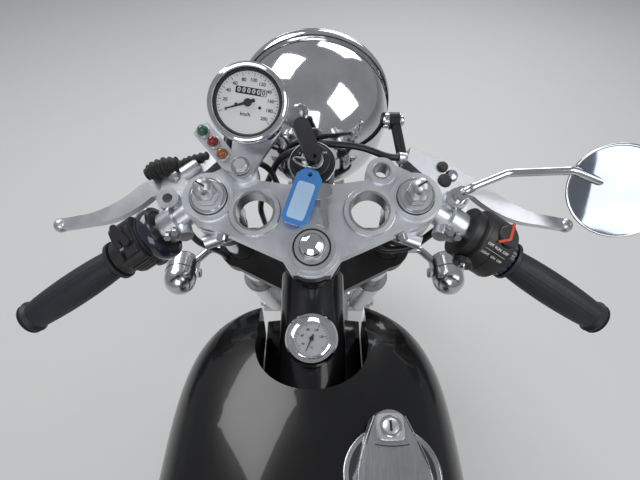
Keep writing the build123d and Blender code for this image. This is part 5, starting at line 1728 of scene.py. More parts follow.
def prism(outline: Array, low: float, high: float) -> tuple[Array, Array]:
    """Give the points and faces of an outline raised from low to high, with fan caps.

    Args:
        outline: rows of two.
        low: where it starts along the third axis.
        high: where it ends.

    Returns:
        The points and the faces, all triangles.
    """
    count = len(outline)
    rings = [np.concatenate([outline, np.full((count, 1), level)], 1) for level in (low, high)]
    middle = outline.mean(0)
    caps = np.array([[*middle, low], [*middle, high]])
    points = np.concatenate([*rings, caps])
    i = np.arange(count)
    j = (i + 1) % count
    walls = np.concatenate([np.stack([i, j, j + count], -1), np.stack([i, j + count, i + count], -1)])
    ends = np.concatenate([
        np.stack([j, i, np.full(count, 2 * count)], -1),
        np.stack([i + count, j + count, np.full(count, 2 * count + 1)], -1),
    ])
    return points, np.concatenate([walls, ends])


@dataclass
class Tyre(Assembly):
    """One tyre with its tread: a closed section turned about the axle, with grooves let in.

    Attributes:
        name: the frame node it stands for.
        body: what it turns with.
        axle: its centre, in metres.
        outer: its radius, in millimetres.
        half: its half width.
        bead: half the width between the rim's walls.
        pitch: how many times the tread repeats round it.
    """

    name: str
    body: str
    axle: Array
    outer: float
    half: float
    bead: float
    pitch: int

    def section(self) -> tuple[Array, Array, Array]:
        """Give the section's place across, its radius and how far each point lies over the crown.

        Returns:
            Across and radius in millimetres, and a share from -1 to 1 over the tread or nan beside it.
        """
        flange = 238.0
        shoulder = flange + 38
        crown_steps = np.linspace(-1, 1, 61)
        reach = self.half
        a = self.outer - shoulder
        # The crown runs from shoulder to shoulder: sin across, and cos to 0.93 in height
        crown_x = reach * np.sin(crown_steps * math.pi / 2)
        crown_r = shoulder + a * np.cos(crown_steps * math.pi / 2) ** 0.93
        side = np.linspace(0, 1, 9)[1:]
        wall_x = reach - (reach - self.bead) * side**1.6
        wall_r = shoulder - (shoulder - flange - 1) * side
        x = np.concatenate([-wall_x[::-1], crown_x, wall_x])
        r = np.concatenate([wall_r[::-1], crown_r, wall_r])
        share = np.concatenate([np.full(8, np.nan), crown_steps, np.full(8, np.nan)])
        seat = 229.6
        x = np.concatenate([[-self.bead], x, [self.bead, -self.bead]])
        r = np.concatenate([[seat], r, [seat, seat]])
        share = np.concatenate([[np.nan], share, [np.nan, np.nan]])
        return x, r, share

    def build(self) -> None:
        """Make the tyre: P(u, v) = section(u) - groove(u, v), turned by v."""
        x, r, share = self.section()
        around = self.pitch * 12
        turn = circle(around)
        over = np.nan_to_num(share, nan=2.0)[:, None]
        phase = turn[None] * self.pitch / math.tau
        ribs = sum(np.exp(-(((over - place) / 0.022) ** 2)) for place in (-0.20, 0.20))
        wave = (phase + 0.9 * np.abs(over)) % 1.0
        sipe = np.exp(-(((wave - 0.5) / 0.075) ** 2)) * np.clip((np.abs(over) - 0.27) * 12, 0, 1)
        sipe = sipe * np.clip((0.80 - np.abs(over)) * 12, 0, 1)
        depth = 3.2 * np.clip(ribs + sipe, 0, 1)
        reach = r[:, None] - depth
        ring = swing(turn, AHEAD, UP)
        grid = self.axle + (x[:, None, None] * RIGHT + reach[..., None] * ring[None]) * MM
        made = surface(f"{self.name}_treaded", grid, True)
        self.fit(made, "tyre_rubber", self.body, "tyre_rubber")
        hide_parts(self.name)


@dataclass
class WheelTrim(Assembly):
    """Spoke nipples, hub ring bolts and the valve of one wheel.

    Attributes:
        name: the wheel's name.
        body: what they turn with.
        axle: its centre, in metres.
        hub_from: the hub's left side, in millimetres.
        hub_to: its right side.
        hub_r: its radius.
        sets: spokes in each of four sets.
    """

    name: str
    body: str
    axle: Array
    hub_from: float
    hub_to: float
    hub_r: float
    sets: int = 9

    def build(self) -> None:
        """Make nipples where each spoke meets the rim, heads at the hub, and the valve."""
        pitch = 360 / self.sets
        places, frames, hooks = [], [], []
        for side, lean, share in ((-1, 1, 0.0), (-1, -1, 0.25), (1, 1, 0.5), (1, -1, 0.75)):
            hub_x = self.hub_from + 3 if side < 0 else self.hub_to - 3
            for step in range(self.sets):
                foot = math.radians(share * pitch - lean * 52 + step * pitch)
                head = math.radians(share * pitch + step * pitch)
                start = (hub_x + lean * 1.2) * RIGHT + (self.hub_r + 3) * swing(foot, AHEAD, UP)
                end = side * 6.0 * RIGHT + 216 * swing(head, AHEAD, UP)
                across, beside, along = frame_of(end - start)
                places.append(self.axle + (end - along * 13) * MM)
                frames.append([across, beside, along])
                hooks.append(self.axle + (start - along * 1) * MM)
        shape, faces = prism(polygon(8, 3.3) * MM, 0.0, 0.012)
        nipples = instanced(f"{self.name}_nipples", shape, faces, np.array(places), np.array(frames))
        self.fit(nipples, "bright_steel", self.body)
        shape, faces = prism(polygon(8, 3.0) * MM, -0.003, 0.003)
        level = np.tile(np.array([AHEAD, UP, RIGHT]), (len(hooks), 1, 1))
        heads = instanced(f"{self.name}_spoke_heads", shape, faces, np.array(hooks), level)
        self.fit(heads, "bright_steel", self.body)
        inward = -swing(math.radians(250), AHEAD, UP)
        foot = self.axle - inward * 0.2165
        valve = [(0, 0), (4.2, 0), (4.2, 3), (2.4, 4), (2.4, 24), (2.9, 24.5), (2.9, 31), (0, 32)]
        self.fit(turned(f"{self.name}_valve", foot, inward, valve, 16), "black_rubber", self.body)


@dataclass
class DriveChain(Assembly):
    """The roller chain: links and rollers along a loop of two arcs and two straight runs.

    Attributes:
        shaft: the small sprocket's centre, across, forward and up in millimetres.
        axle: the large one's.
        small: the chain's radius round the small sprocket.
        large: its radius round the large one.
        links: how many pitches it has.
    """

    shaft: Triple = (-72.0, -108.0, 350.0)
    axle: Triple = (-72.0, -705.0, 344.0)
    small: float = 38.7
    large: float = 104.7
    links: int = 104

    def loop(self, count: int) -> Array:
        """Give points evenly along the loop: tangent arcs joined by the two outer tangent lines.

        Args:
            count: how many points.

        Returns:
            Forward and up, in millimetres.
        """
        front, rear = np.array(self.shaft[1:]), np.array(self.axle[1:])
        span = rear - front
        reach = np.linalg.norm(span)
        base = math.atan2(span[1], span[0])
        lean = math.acos((self.small - self.large) / reach)
        arcs = []
        for centre, radius, start, stop in (
            (front, self.small, base + lean, base + math.tau - lean),
            (rear, self.large, base - lean, base + lean),
        ):
            turn = np.linspace(start, stop, 400)
            arcs.append(centre + radius * swing(turn, *FLAT))
        path = np.concatenate([*arcs, arcs[0][:1]])
        run = np.concatenate([[0], np.cumsum(np.linalg.norm(np.diff(path, axis=0), axis=1))])
        place = np.arange(count) * run[-1] / count
        return np.stack([np.interp(place, run, path[:, k]) for k in (0, 1)], -1)

    def build(self) -> None:
        """Make inner and outer plates in turn, and a roller at each pin."""
        pins = self.loop(self.links)
        places = np.concatenate([np.full((self.links, 1), self.shaft[0]), pins], 1) * MM
        step = np.roll(pins, -1, 0) - pins
        pitch = np.linalg.norm(step, axis=1)
        along = np.concatenate([np.zeros((self.links, 1)), step / pitch[:, None]], 1)
        beside = np.stack([np.zeros(self.links), -along[:, 2], along[:, 1]], -1)
        frames = np.stack([along, beside, np.tile(RIGHT, (self.links, 1))], 1)
        turn = np.linspace(math.pi / 2, math.pi * 3 / 2, 6)
        mean = pitch.mean()
        left = 4.6 * swing(turn, *FLAT)
        right = -left + np.array([mean, 0])
        outline = np.concatenate([left, [[mean / 2, -3.2]], right, [[mean / 2, 3.2]]]) * MM
        plates = []
        for kind, offset in ((0, 5.6), (1, 7.2)):
            chosen = np.arange(self.links) % 2 == kind
            for side in (-1, 1):
                shape, faces = prism(outline, (side * offset - 0.75) * MM, (side * offset + 0.75) * MM)
                name = f"plates_{kind}_{side}"
                plates.append(instanced(name, shape, faces, places[chosen], frames[chosen]))
        shape, faces = prism(polygon(8, 4.4) * MM, -0.005, 0.005)
        rollers = instanced("rollers", shape, faces, places, frames)
        shape, faces = prism(polygon(6, 2.4) * MM, -0.0083, 0.0083)
        studs = instanced("studs", shape, faces, places, frames)
        chain = gather("roller_chain", [*plates, rollers, studs])
        self.fit(chain, "chain_steel")
        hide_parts("drive_chain")
        self.teeth()

    def teeth(self) -> None:
        """Make a toothed ring: radius = root + tooth times a clipped wave round the sprocket."""
        for name, body, centre, inner, root, tip, count in (
            ("rear_sprocket_teeth", "rear_wheel", self.axle, 92.0, 98.2, 106.5, 41),
            ("front_sprocket_teeth", "chassis", self.shaft, 26.0, 32.4, 40.5, 15),
        ):
            turn = circle(count * 8)
            wave = np.clip(0.5 + 0.9 * np.cos(turn * count), 0, 1)
            outer = root + (tip - root) * wave
            way = swing(turn, AHEAD, UP)
            rows = [
                offset * RIGHT + np.broadcast_to(reach, turn.shape)[:, None] * way
                for reach, offset in ((inner, -2.0), (outer, -2.0), (outer, 2.0), (inner, 2.0), (inner, -2.0))
            ]
            self.fit(surface(name, (np.array(centre) + np.array(rows)) * MM, True), "bright_steel", body)


@dataclass
class Damper:
    """One rear damper: eyes, body, rod, collars and a coil spring.

    Attributes:
        side: -1 for the left.
        foot: its lower eye, in metres.
        head: its upper eye.
        coils: turns of the spring.
    """

    side: int
    foot: Array
    head: Array
    coils: float = 8.5

    def build(self) -> dict[str, list[Piece]]:
        """Make the pieces.

        Returns:
            The pieces by finish.
        """
        run = self.head - self.foot
        length = np.linalg.norm(run) / MM
        across, beside, along = frame_of(run, RIGHT)
        tag = "left" if self.side < 0 else "right"
        eye = [(7.3, -12), (14.2, -12), (15, -11), (15, 11), (14.2, 12), (7.3, 12), (7.3, -12)]
        chrome, black, steel = [], [], []
        for end, place in (("foot", self.foot), ("head", self.head)):
            black.append(turned(f"damper_{tag}_{end}_eye", place, RIGHT, eye, 40))
        body = [
            (0, 10), (11, 10), (12, 30), (24, 38), (28, 40), (28, 47), (24.5, 50), (20, 52), (20, 118),
            (18, 121), (8, 121), (8, length - 44), (24, length - 44), (28, length - 41), (28, length - 30),
            (22, length - 26), (12, length - 20), (11, length - 10), (0, length - 10),
        ]
        black.append(turned(f"damper_{tag}_body", self.foot, along, body, 48))
        steel.append(collar(f"damper_{tag}_adjuster", self.foot + along * 0.030, along, 11.5, 21.5, 0, 7, 12))
        turns = np.linspace(0, self.coils * math.tau, 320)
        ground = math.tau * 0.7
        knots = [0, ground, turns[-1] - ground, turns[-1]]
        rise = np.interp(turns, knots, [54, 61, length - 55, length - 48])
        helix = self.foot + (rise[:, None] * along + 23.4 * swing(turns, across, beside)) * MM
        chrome.append(carried(f"damper_{tag}_spring", helix, 4.3, along, 1.0, 10))
        out = self.side * RIGHT
        for end, place in (("foot", self.foot), ("head", self.head)):
            chrome.append(bolt(f"damper_{tag}_{end}_nut", place + out * 0.0165, out, 10.5, 9, Head.DOME))
        return {"chrome": chrome, "satin_black": black, "bright_steel": steel}


@dataclass
class RearDampers(Assembly):
    """Both rear dampers.

    Attributes:
        foot: the right one's lower eye, in millimetres.
        head: its upper eye.
    """

    foot: Triple = (130.0, -665.0, 374.0)
    head: Triple = (130.0, -600.0, 700.0)

    def build(self) -> None:
        """Make both, each finish as one piece, in place of the frame's node."""
        made: dict[str, list[Piece]] = {}
        for side in (-1, 1):
            ends = [np.array([side * place[0], *place[1:]]) * MM for place in (self.foot, self.head)]
            for look, pieces in Damper(side, *ends).build().items():
                made.setdefault(look, []).extend(pieces)
        for look, pieces in made.items():
            whole = self.join(f"dampers_{look}", pieces, look)
            if look == "satin_black":
                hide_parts("rear_dampers")


@dataclass
class SwitchGear(Assembly):
    """Both switch housings' seams, buttons, kill switch, generic words and rings.

    Attributes:
        start: the housings' inner ends, in millimetres from the midplane.
        drum_r: the right drum's radius.
        drum_lift: how far its axis lies over the bar's.
        keys: the left keys' outward and rider's place, width, depth and height.
        left_words: each word with its outward and rider's place.
        right_words: each word with its outward place, its turn round the drum and its height.
        ring: radius and outward place of the throttle ring's profile.
    """

    home = "steering"
    start: float = 152.0
    drum_r: float = 31.0
    drum_lift: float = 3.0
    keys: tuple = (
        (20.5, -6.0, 5.0, 17.0, 1.6), (27.5, -6.0, 5.0, 17.0, 1.6), (34.5, -6.0, 5.0, 17.0, 1.6),
        (24.5, 12.0, 15.0, 9.0, 3.0), (36.5, 12.5, 5.5, 10.0, 4.2),
    )
    left_words: tuple = (("HI", 24.5, 3.4), ("LO", 34.0, 4.4))
    right_words: tuple = (
        ("OFF", 17.0, 17.0, 2.6), ("RUN", 26.0, 17.0, 2.6), ("OFF", 35.0, 17.0, 2.6),
        ("LIGHT", 17.5, 35.0, 2.3), ("ON", 27.0, 35.0, 2.3), ("OFF", 34.5, 35.0, 2.3),
    )
    ring: tuple = (
        (11.6, 42.8), (18.6, 42.8), (21.2, 44.5), (21.2, 54.0), (19.5, 56.4), (11.6, 56.4), (11.6, 42.8),
    )

    def on_drum(self, outward_mm: float, turn: float, lift: float = 0.0) -> tuple[Array, Array, Array]:
        """Place a point on the right drum by its distance outward and its turn from the top toward the rider.

        Args:
            outward_mm: along the bar.
            turn: in degrees.
            lift: proud of the drum, in millimetres.

        Returns:
            The point in metres, the surface's direction and the direction forward over the drum.
        """
        seat, outward, top, back = bar_frame(1, self.start)
        angle = math.radians(turn)
        normal = swing(angle, top, back)
        ahead = math.sin(angle) * top - math.cos(angle) * back
        axis = outward * outward_mm + top * self.drum_lift
        return seat + (axis + normal * (self.drum_r + lift)) * MM, normal, ahead

    def build(self) -> None:
        """Make both sides."""
        self.left()
        self.right()

    def left(self) -> None:
        """Make the left block's glossy band, ribs, rockers and horn button."""
        seat, outward, top, back = bar_frame(-1, self.start)
        band = [
            (23, -0.6), (27.4, -0.6), (28.5, 1.5), (28.9, 6.0), (28.4, 10.5), (27.2, 12.4), (23, 12.4),
            (23, -0.6),
        ]
        self.fit(turned("left_switch_band", seat, outward, band, 72), "gloss_band")
        deck = seat + top * 28 * MM
        blocks = []
        for row, (along, beside, width, depth, high) in enumerate(self.keys):
            place = deck + (outward * along + back * beside) * MM
            blocks.append(stacked(
                f"left_key_{row}", place, top, superellipse(width, depth, 6, 28),
                [(0, -0.4), (1, -0.4), (1, high * 0.6), (0.86, high), (0, high)], outward,
            ))
        flank = seat + back * 23 * MM
        for row, rise in enumerate((-8.0, -2.0, 4.0, 10.0)):
            place = flank + (outward * 28 + top * (6 + rise)) * MM
            blocks.append(stacked(
                f"left_rib_{row}", place, back, superellipse(22, 2.6, 5, 28),
                [(0, -0.4), (1, -0.4), (1, 0.9), (0.9, 1.4), (0, 1.4)], outward,
            ))
        horn = [(0, -0.4), (6.2, -0.4), (6.2, 2.6), (5.4, 3.6), (0, 4.2)]
        blocks.append(turned("left_horn", flank + (outward * 19 - top * 6) * MM, back, horn, 32))
        self.join("left_switch_keys", blocks, "switch_plastic")
        words = []
        for text, along, beside in self.left_words:
            place = deck + (outward * along + back * beside) * MM + top * 0.0001
            words.append(lettering(f"left_word_{text}", text, 2.2, place, outward, -back))
        self.join("left_switch_words", words, "print_white")

    def right(self) -> None:
        """Make the right drum, its seams, kill switch, words, start lever and throttle ring."""
        seat, outward, top, _ = bar_frame(1, self.start)
        axis = seat + top * self.drum_lift * MM
        r = self.drum_r
        drum = [
            (11.8, 10.0), (r - 3, 10.0), (r - 0.6, 11.4), (r, 13.5), (r, 24.0), (r - 0.7, 24.5), (r, 25.0),
            (r, 40.0), (r - 0.8, 42.4), (r - 4, 43.6), (11.8, 43.6), (11.8, 10.0),
        ]
        self.fit(turned("right_switch_drum", axis, outward, drum, 96), "switch_plastic")
        place, normal, ahead = self.on_drum(30.5, -13.0)
        knob = [(0, -1.5), (11.5, -1.5), (11.5, 1.6), (10.2, 3.0), (0, 3.6)]
        self.fit(turned("kill_switch_base", place, normal, knob, 40), "switch_plastic")
        bend = self.on_drum(30.0, -5.0, 5.0)[0]
        line = np.array([self.on_drum(31.5, -38.0, 5.6)[0], bend, self.on_drum(21.5, 7.0, 2.2)[0]])
        path = np.concatenate([np.linspace(line[0], line[1], 9), np.linspace(line[1], line[2], 6)[1:]])
        self.fit(carried("kill_switch_lever", path, 1.35, normal, 1.0, 10, 4.0), "kill_red")
        words = []
        for text, along, turn, high in self.right_words:
            place, normal, ahead = self.on_drum(along, turn, 0.25)
            words.append(lettering(f"right_word_{along}_{turn}", text, high, place, outward, ahead))
        place, normal, ahead = self.on_drum(26.0, 26.0, -0.05)
        line = slab(0, 0.2)
        words.append(stacked("right_rule", place, normal, superellipse(24, 0.3, 8, 16), line, outward))
        self.join("right_switch_words", words, "print_white")
        place, normal, ahead = self.on_drum(12.5, 84.0, -3.0)
        plinth = [(0, 0), (10.5, 0), (10.5, 4.6), (9.4, 5.8), (0, 6.2)]
        self.fit(turned("start_switch_plinth", place, normal, plinth, 40), "switch_plastic")
        toggle = stacked(
            "start_switch", place + normal * 0.0061, normal, superellipse(7.0, 13.5, 3, 32),
            [(0, 0), (1, 0), (0.92, 2.6), (0.6, 3.6), (0, 3.9)], outward + ahead * 0.5,
        )
        self.fit(toggle, "polished_alloy")
        turn = circle(120)
        across, beside, along = frame_of(outward)
        way = swing(turn, across, beside)
        ribs = 0.45 * np.sign(np.cos(turn * 20))
        rows = []
        for radius, offset in self.ring:
            reach = radius + (ribs if 19 < radius < 22 else 0 * turn)
            rows.append(seat + (offset * along + reach[:, None] * way) * MM)
        self.fit(surface("throttle_ring", np.array(rows), True), "gloss_band")


@dataclass
class LeverDetail(Assembly):
    """Boots on the clutch cable, the levers' pivots, the clamps' bolts and the right perch's knobs.

    Attributes:
        boots: name, places from the stem, four radii along it and ribs of each.
        knobs: name, place from the stem, radius and height of each.
    """

    home = "steering"
    boots: tuple = (
        ("outer", ((-172, 91, -52), (-158, 96, -49), (-139, 100, -47)), (6.5, 10.5, 11.5, 9.0), 6),
        ("inner", ((-136, 99, -47), (-117, 104, -44), (-97, 110, -46)), (6.0, 7.2, 7.2, 5.0), 7),
    )
    knobs: tuple = (("front", (132.3, 97.5, -47.5), 5.6, 7.0), ("rear", (134.0, 82.5, -48.0), 7.2, 6.0))

    def build(self) -> None:
        """Make the pieces."""
        boots = []
        for name, ends, widths, ribs in self.boots:
            path = spread(np.array([at_stem(*place) for place in ends]), 97)
            share = np.linspace(0, 1, 97)
            ripple = 1 + 0.10 * np.cos(share * math.tau * ribs)
            radius = np.interp(share, [0, 0.25, 0.7, 1], widths) * ripple
            boots.append(carried(f"clutch_boot_{name}", path, radius, STEM_UP, 0.85, 28))
        self.join("clutch_boots", boots, "black_rubber")
        steel, alloy, black = [], [], []
        barrel = at_stem(-131, 86, -42)
        toward = unit(at_stem(-114, 98, -41) - barrel)
        alloy.append(bolt("clutch_adjuster", barrel, toward, 8.4, 19.0, Head.SOCKET))
        for side in (-1, 1):
            seat, outward, top, back = bar_frame(side, 134.0)
            toward = unit(top * 0.75 + back * 0.66)
            for along in (3.5, 12.5):
                place = seat + (outward * along + top * 13 + back * 12.5) * MM
                steel.append(bolt(f"perch_clamp_{side}_{along}", place, toward, 4.3, 5.2))
            alloy.append(turned(
                f"perch_cap_{side}", seat + back * 8 * MM, unit(back + top * 0.35),
                [(0, 0), (8.2, 0), (8.2, 11.5), (7.4, 13.2), (0, 13.8)], 32,
            ))
            fall = math.radians(14.4)
            out = math.cos(fall) * side * RIGHT - math.sin(fall) * STEM_UP
            up = side * np.cross(out, STEM_FORWARD)
            pivot = at_stem(side * 140, 88, -58)
            steel.append(bolt(f"lever_pivot_{side}", pivot + up * 0.0105, up, 6.6, 4.6, Head.DOME))
            steel.append(bolt(f"lever_nut_{side}", pivot - up * 0.0115, -up, 6.4, 5.0))
        lean = unit(0.25 * RIGHT + STEM_UP * 0.86 - STEM_FORWARD * 0.3)
        for name, place, wide, high in self.knobs:
            knob = [(0, -1), (wide, -1), (wide, high * 0.6), (wide * 0.75, high), (0, high * 1.1)]
            black.append(turned(f"brake_knob_{name}", at_stem(*place), lean, knob, 28))
        self.join("lever_bolts", steel, "bright_steel")
        self.join("lever_caps", alloy, "satin_alloy")
        self.join("brake_adjusters", black, "black_rubber")


@dataclass
class SeatPad(Assembly):
    """The seat: a cover filled by cloth simulation, then its sewn channels and piping.

    Attributes:
        voxel: the size that the frame's pad is remeshed to, in metres.
        start: how much smaller the cover starts, in metres.
        pressure: what fills it.
        reach: the most that a point may move, in metres.
        frames: how many steps it fills for.
        channels: where the sewn channels cross, in metres.
    """

    voxel: float = 0.006
    start: float = 0.007
    pressure: float = 4.0
    reach: float = 0.010
    frames: int = 20
    channels: tuple[float, ...] = (-0.262, -0.304, -0.346, -0.388, -0.430)

    def build(self) -> None:
        """Remesh a copy of the frame's pad, fill it, sew it and hang it in the pad's place."""
        cover = self.remeshed()
        rest = points_of(cover.data).astype(float)
        low = rest[:, 2].min()
        slack = rest - points_of(cover.data, "normal") * self.start
        move_points(cover.data, slack)
        filled = self.filled(cover, slack)
        filled[:, 2] = np.maximum(filled[:, 2], low)
        move_points(cover.data, filled)
        fine = cover.modifiers.new("fine", "SUBSURF")
        fine.levels = fine.render_levels = 1
        self.apply(cover)
        self.sew(cover)
        self.fit(smooth(cover, 60.0), "seat_hide")
        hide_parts("seat_pad")
        self.piping(cover)

    def apply(self, piece: Piece) -> None:
        """Bake a piece's modifiers into its mesh.

        Args:
            piece: the piece.
        """
        shape = piece.evaluated_get(bpy.context.evaluated_depsgraph_get())
        mesh = bpy.data.meshes.new_from_object(shape)
        piece.modifiers.clear()
        piece.data = mesh

    def remeshed(self) -> Piece:
        """Copy the frame's pad, merge its points and give it even cells.

        Returns:
            The cover, in even cells.
        """
        mesh = frame["nodes"]["seat_pad"].data.copy()
        work = bmesh.new()
        work.from_mesh(mesh)
        bmesh.ops.remove_doubles(work, verts=work.verts, dist=1e-5)
        work.to_mesh(mesh)
        work.free()
        cover = hung("seat_cover", mesh)
        even = cover.modifiers.new("even", "REMESH")
        even.mode = "VOXEL"
        even.voxel_size = self.voxel
        self.apply(cover)
        return cover

    def filled(self, cover: Piece, slack: Array) -> Array:
        """Fill the cover by pressure, without gravity, and cap how far each point moves.

        Args:
            cover: the slack cover.
            slack: its points.

        Returns:
            The filled points.
        """
        cloth = cover.modifiers.new("fill", "CLOTH")
        cloth.settings.use_pressure = True
        cloth.settings.uniform_pressure_force = self.pressure
        cloth.settings.effector_weights.gravity = 0.0
        cloth.point_cache.frame_start = 1
        cloth.point_cache.frame_end = self.frames
        for number in range(1, self.frames + 1):
            bpy.context.scene.frame_set(number)
        shape = cover.evaluated_get(bpy.context.evaluated_depsgraph_get())
        move = points_of(shape.data) - slack
        cover.modifiers.clear()
        bpy.context.scene.frame_set(1)
        length = np.linalg.norm(move, axis=1)[:, None]
        return slack + move * np.minimum(1.0, self.reach / np.maximum(length, 1e-9))

    def sew(self, cover: Piece) -> None:
        """Sink the channels in the top: z falls by depth exp(-((y - channel) / width)^2).

        Args:
            cover: the filled cover.
        """
        points = points_of(cover.data).astype(float)
        x, y, z = points.T
        top = z.max()
        on_top = np.clip((z - (top - 0.030)) / 0.012, 0, 1)
        inside = np.clip((0.098 - np.abs(x)) / 0.014, 0, 1)
        fall = sum(np.exp(-(((y - place) / 0.0042) ** 2)) for place in self.channels)
        points[:, 2] = z - 0.0055 * np.clip(fall, 0, 1) * on_top * inside
        move_points(cover.data, points)

    def piping(self, cover: Piece) -> None:
        """Lay a cord round the cover's widest line: the farthest point in each slice of angle, evened out.

        Args:
            cover: the sewn cover.
        """
        points = points_of(cover.data).astype(float)
        level = points[:, 2].min() + 0.014
        band = points[np.abs(points[:, 2] - level) < 0.006]
        middle = np.array([0.0, band[:, 1].mean()])
        away = band[:, :2] - middle
        angle = np.arctan2(away[:, 1], away[:, 0])
        slot = ((angle + math.pi) / math.tau * 72).astype(int) % 72
        reach = np.array([np.linalg.norm(away[slot == k], axis=1).max() for k in range(72)])
        reach = (np.roll(reach, 1) + 2 * reach + np.roll(reach, -1)) / 4
        turn = (np.arange(73) % 72 + 0.5) * math.tau / 72 - math.pi
        ring = np.concatenate([reach, reach[:1]])[:, None] * swing(turn, *FLAT) + middle
        path = np.concatenate([ring, np.full((73, 1), level)], 1)
        cord = carried("seat_piping", spread(path, 289), 2.0, UP, 1.0, 10)
        self.fit(cord, "black_rubber")


BORE_UP = np.array([0.0, -math.sin(math.radians(8.0)), math.cos(math.radians(8.0))])
BORE_BACK = np.array([0.0, -BORE_UP[2], BORE_UP[1]])


def on_bore(x: float, ahead: float, up: float) -> Array:
    """Place a point by millimetres right, forward and up the cylinder, in metres."""
    return mm(0, 60, 470.3) + (x * RIGHT - ahead * BORE_BACK + up * BORE_UP) * MM


def round_circle(centre: Triple, radius: float, angles: Array) -> Array:
    """Give places round a circle that faces sideways, from forward toward up, in metres."""
    return mm(*centre) + radius * MM * swing(np.radians(angles), AHEAD, UP)


@dataclass
class EngineTrim(Assembly):
    """The engine's cover screws, plug, filler, clamps and edge lines.

    Attributes:
        rounds: side, centre, radius, first and last angle and number of each round of cover screws.
        sprocket: forward and up places of the sprocket cover's screws.
        screw_r: a screw head's radius.
    """

    rounds: tuple = (
        (1, (101, -38, 342), 81, 62, 298, 8), (1, (101, 80, 336), 55, -112, 112, 6),
        (-1, (-105, 70, 340), 69, 0, 315, 8),
    )
    sprocket: tuple = ((-32, 391), (-70, 391), (-32, 299), (-70, 299))
    screw_r: float = 4.2

    def build(self) -> None:
        """Make the pieces."""
        seats = [
            (side, place)
            for side, centre, radius, first, last, count in self.rounds
            for place in round_circle(centre, radius, np.linspace(first, last, count))
        ]
        seats += [(-1, mm(-99, y, z)) for y, z in self.sprocket]
        screws = [
            bolt(f"cover_screw_{k}", place, side * RIGHT, self.screw_r, 3.6, Head.SOCKET)
            for k, (side, place) in enumerate(seats)
        ]
        for x in (-46, 46):
            for ahead in (-58, 58):
                place = on_bore(x, ahead, 206.8)
                screws.append(bolt(f"rocker_bolt_{x}_{ahead}", place, BORE_UP, 5.4, 5.0, Head.DOME))
        self.join("engine_screws", screws, "bright_steel")
        hexagon, levels = polygon(6, 11.0), [(0, -0.3), (1, -0.3), (1, 5.0), (0.9, 6.4), (0, 6.4)]
        caps = [
            stacked(f"tappet_hex_{ahead}", on_bore(0, ahead, 218.5), BORE_UP, hexagon, levels)
            for ahead in (-42, 42)
        ]
        rings = [
            collar("right_cover_step", mm(101, -38, 342), RIGHT, 58, 62, -0.3, 1.6, 96),
            collar("right_cover_cap", mm(101, 80, 336), RIGHT, 22, 40, -0.3, 2.4, 72),
            collar("left_cover_step", mm(-105, 70, 340), -RIGHT, 46, 50, -0.3, 1.6, 96),
        ]
        filler = [(0, -0.3), (15, -0.3), (16, 1.5), (16, 8), (14.5, 10), (6, 10), (5, 12.5), (0, 12.5)]
        rings.append(turned("oil_filler", mm(101, -94, 372), RIGHT, filler, 40))
        self.join("engine_covers_trim", [*caps, *rings], "polished_alloy")
        plug_seat = on_bore(56, 8, 150)
        lean = unit(RIGHT + BORE_UP * 0.35)
        plug = [(0, -2), (11, -2), (11, 2), (10.4, 3), (6.5, 3), (6.5, 8), (0, 8)]
        self.fit(turned("spark_plug_base", plug_seat, lean, plug, 6), "zinc_steel")
        cap = [(0, 7), (8.6, 7), (9.2, 9), (9.2, 24), (8.0, 27), (8.6, 30), (6.5, 36), (0, 37)]
        self.fit(turned("spark_plug_cap", plug_seat, lean, cap, 32), "black_rubber")
        run = unit(mm(28, -580, 80))
        joint = mm(158, -140, 238)
        clamps = [
            collar("muffler_clamp_band", joint + run * 0.001, run, 22.4, 25.4, 0, 12, 56),
            bolt("muffler_clamp_bolt", joint + run * 0.007 + np.array([0, 0, -0.0245]), -UP, 5.0, 7.0),
            collar("header_flange_ring", on_bore(0, 106.3, 118), -BORE_BACK, 19.5, 29.0, -0.5, 5.0, 56),
        ]
        for side in (-1, 1):
            clamps.append(bolt(f"header_nut_{side}", on_bore(side * 26, 110.5, 118), -BORE_BACK, 5.0, 5.5))
        self.join("exhaust_clamps", clamps, "bright_steel")


@dataclass
class Rubbers(Assembly):
    """Ribbed rubber sleeves on the footrests, pedals and kick start.

    Attributes:
        bars: name, both ends and radius of each.
    """

    bars: tuple = (
        ("left_peg", (-146, -60, 300), (-216, -60, 300), 13.0),
        ("right_peg", (146, -60, 300), (216, -60, 300), 13.0),
        ("left_lever", (-139, 112, 284), (-175, 112, 284), 7.2),
        ("right_lever", (139, 112, 284), (175, 112, 284), 7.2),
        ("kick", (135, -70, 510.2), (174, -70, 511.8), 8.2),
    )

    def build(self) -> None:
        """Make each sleeve by turning radius = base + rib cos about its bar."""
        sleeves = []
        for name, first, last, radius in self.bars:
            start, run = mm(*first), mm(*last) - mm(*first)
            length = np.linalg.norm(run) / MM
            place = np.linspace(0, length, int(length) * 2 + 1)
            reach = radius + 0.1 + 0.6 * (1 + np.cos(place * math.tau / 6.0))
            profile = [(0.0, 0.0), *zip(reach, place), (0.0, length)]
            sleeves.append(turned(f"rubber_{name}", start, unit(run), profile, 28))
        self.join("pedal_rubbers", sleeves, "black_rubber")


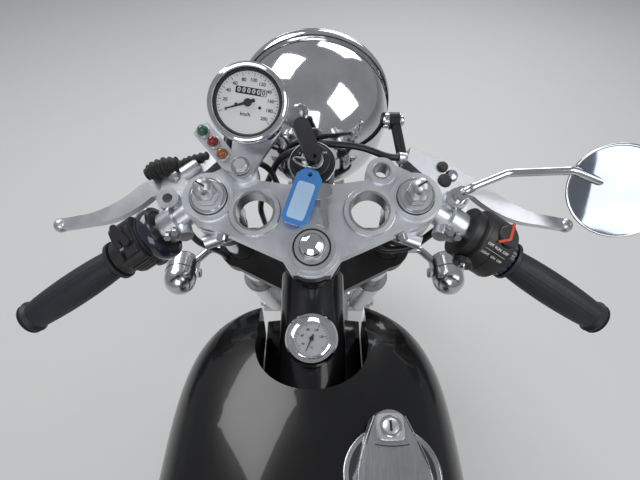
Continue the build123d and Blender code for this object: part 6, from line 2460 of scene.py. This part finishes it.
@dataclass
class TankTunnelShade(Assembly):
    """A dark sheet across the tank's front opening, under the backbone: painted shade in place of the
    shadowed gap under the tank.

    Attributes:
        centre: its middle, in millimetres.
        width: across.
        length: along.
    """

    centre: Triple = (0.0, 268.0, 796.0)
    width: float = 101.0
    length: float = 140.0

    def build(self) -> None:
        """Make the shade sheet, z = crown (1 - (2u - 1)^2) over its width, with a wall 3 mm thick."""
        u, v = np.meshgrid(np.linspace(-1, 1, 17), np.linspace(-1, 1, 9), indexing="ij")
        rise = 6.0 * (1 - u**2)
        points = np.stack([u * self.width / 2, v * self.length / 2, rise], -1)
        # Painted shade: a dark sheet where the gap under the tank lies in shadow.
        shade_sheet = surface("tank_tunnel_shade_sheet", mm(*self.centre) + points * MM)
        wall = shade_sheet.modifiers.new("wall", "SOLIDIFY")
        wall.thickness = 0.003
        self.fit(shade_sheet, "frame_black")


@dataclass
class EndTrim(Assembly):
    """The tail lamp's bezel and the brake plates' ribs.

    Attributes:
        plates: name, body, side, place and radius of each brake plate.
    """

    plates: tuple = (
        ("front", "steering", -1, (-49, 705, 316), 60.0), ("rear", "chassis", 1, (61, -705, 344), 66.0),
    )

    def build(self) -> None:
        """Make the pieces."""
        self.fit(hoop("tail_lamp_bezel", mm(0, -832, 779.3), -AHEAD, 33.2, 1.9, 72), "chrome")
        for name, body, side, place, outer in self.plates:
            seat, out = mm(*place), side * RIGHT
            rings = [
                collar(f"{name}_plate_{inner}", seat, out, inner, inner + 2.4, -0.3, 1.4, 96)
                for inner in (outer * 0.62, outer * 0.94)
            ]
            self.join(f"{name}_brake_rings", rings, "polished_alloy", body)


def main() -> None:
    """Dress the frame, build each sub-assembly in order and report."""
    logging.basicConfig(level=logging.INFO, format="%(message)s")
    dress_frame_nodes()
    front, rear = mm(0, 705, 316), mm(0, -705, 344)
    assemblies = (
        Speedometer(), PilotLamps(), IgnitionLock(), ClampTop(), MirrorGlass(), OilThermometer(),
        FuelCapLock(), Grips(), HeadlampTrim(), SignalLenses(), RearDampers(), DriveChain(),
        Tyre("front_tyre", "front_wheel", front, 316.0, 46.0, 23.2, 60),
        Tyre("rear_tyre", "rear_wheel", rear, 322.0, 54.0, 27.2, 60),
        WheelTrim("front_wheel", "front_wheel", front, -36.0, 42.0, 70.0),
        WheelTrim("rear_wheel", "rear_wheel", rear, -40.0, 46.0, 76.0),
        SwitchGear(), LeverDetail(), TankTunnelShade(), SeatPad(), EngineTrim(), Rubbers(), EndTrim(),
    )
    for assembly in assemblies:
        assembly.build()
    log.info("%d pieces fitted", sum(assembly.count for assembly in assemblies))
    Studio().build()


if __name__ == "__main__":
    main()
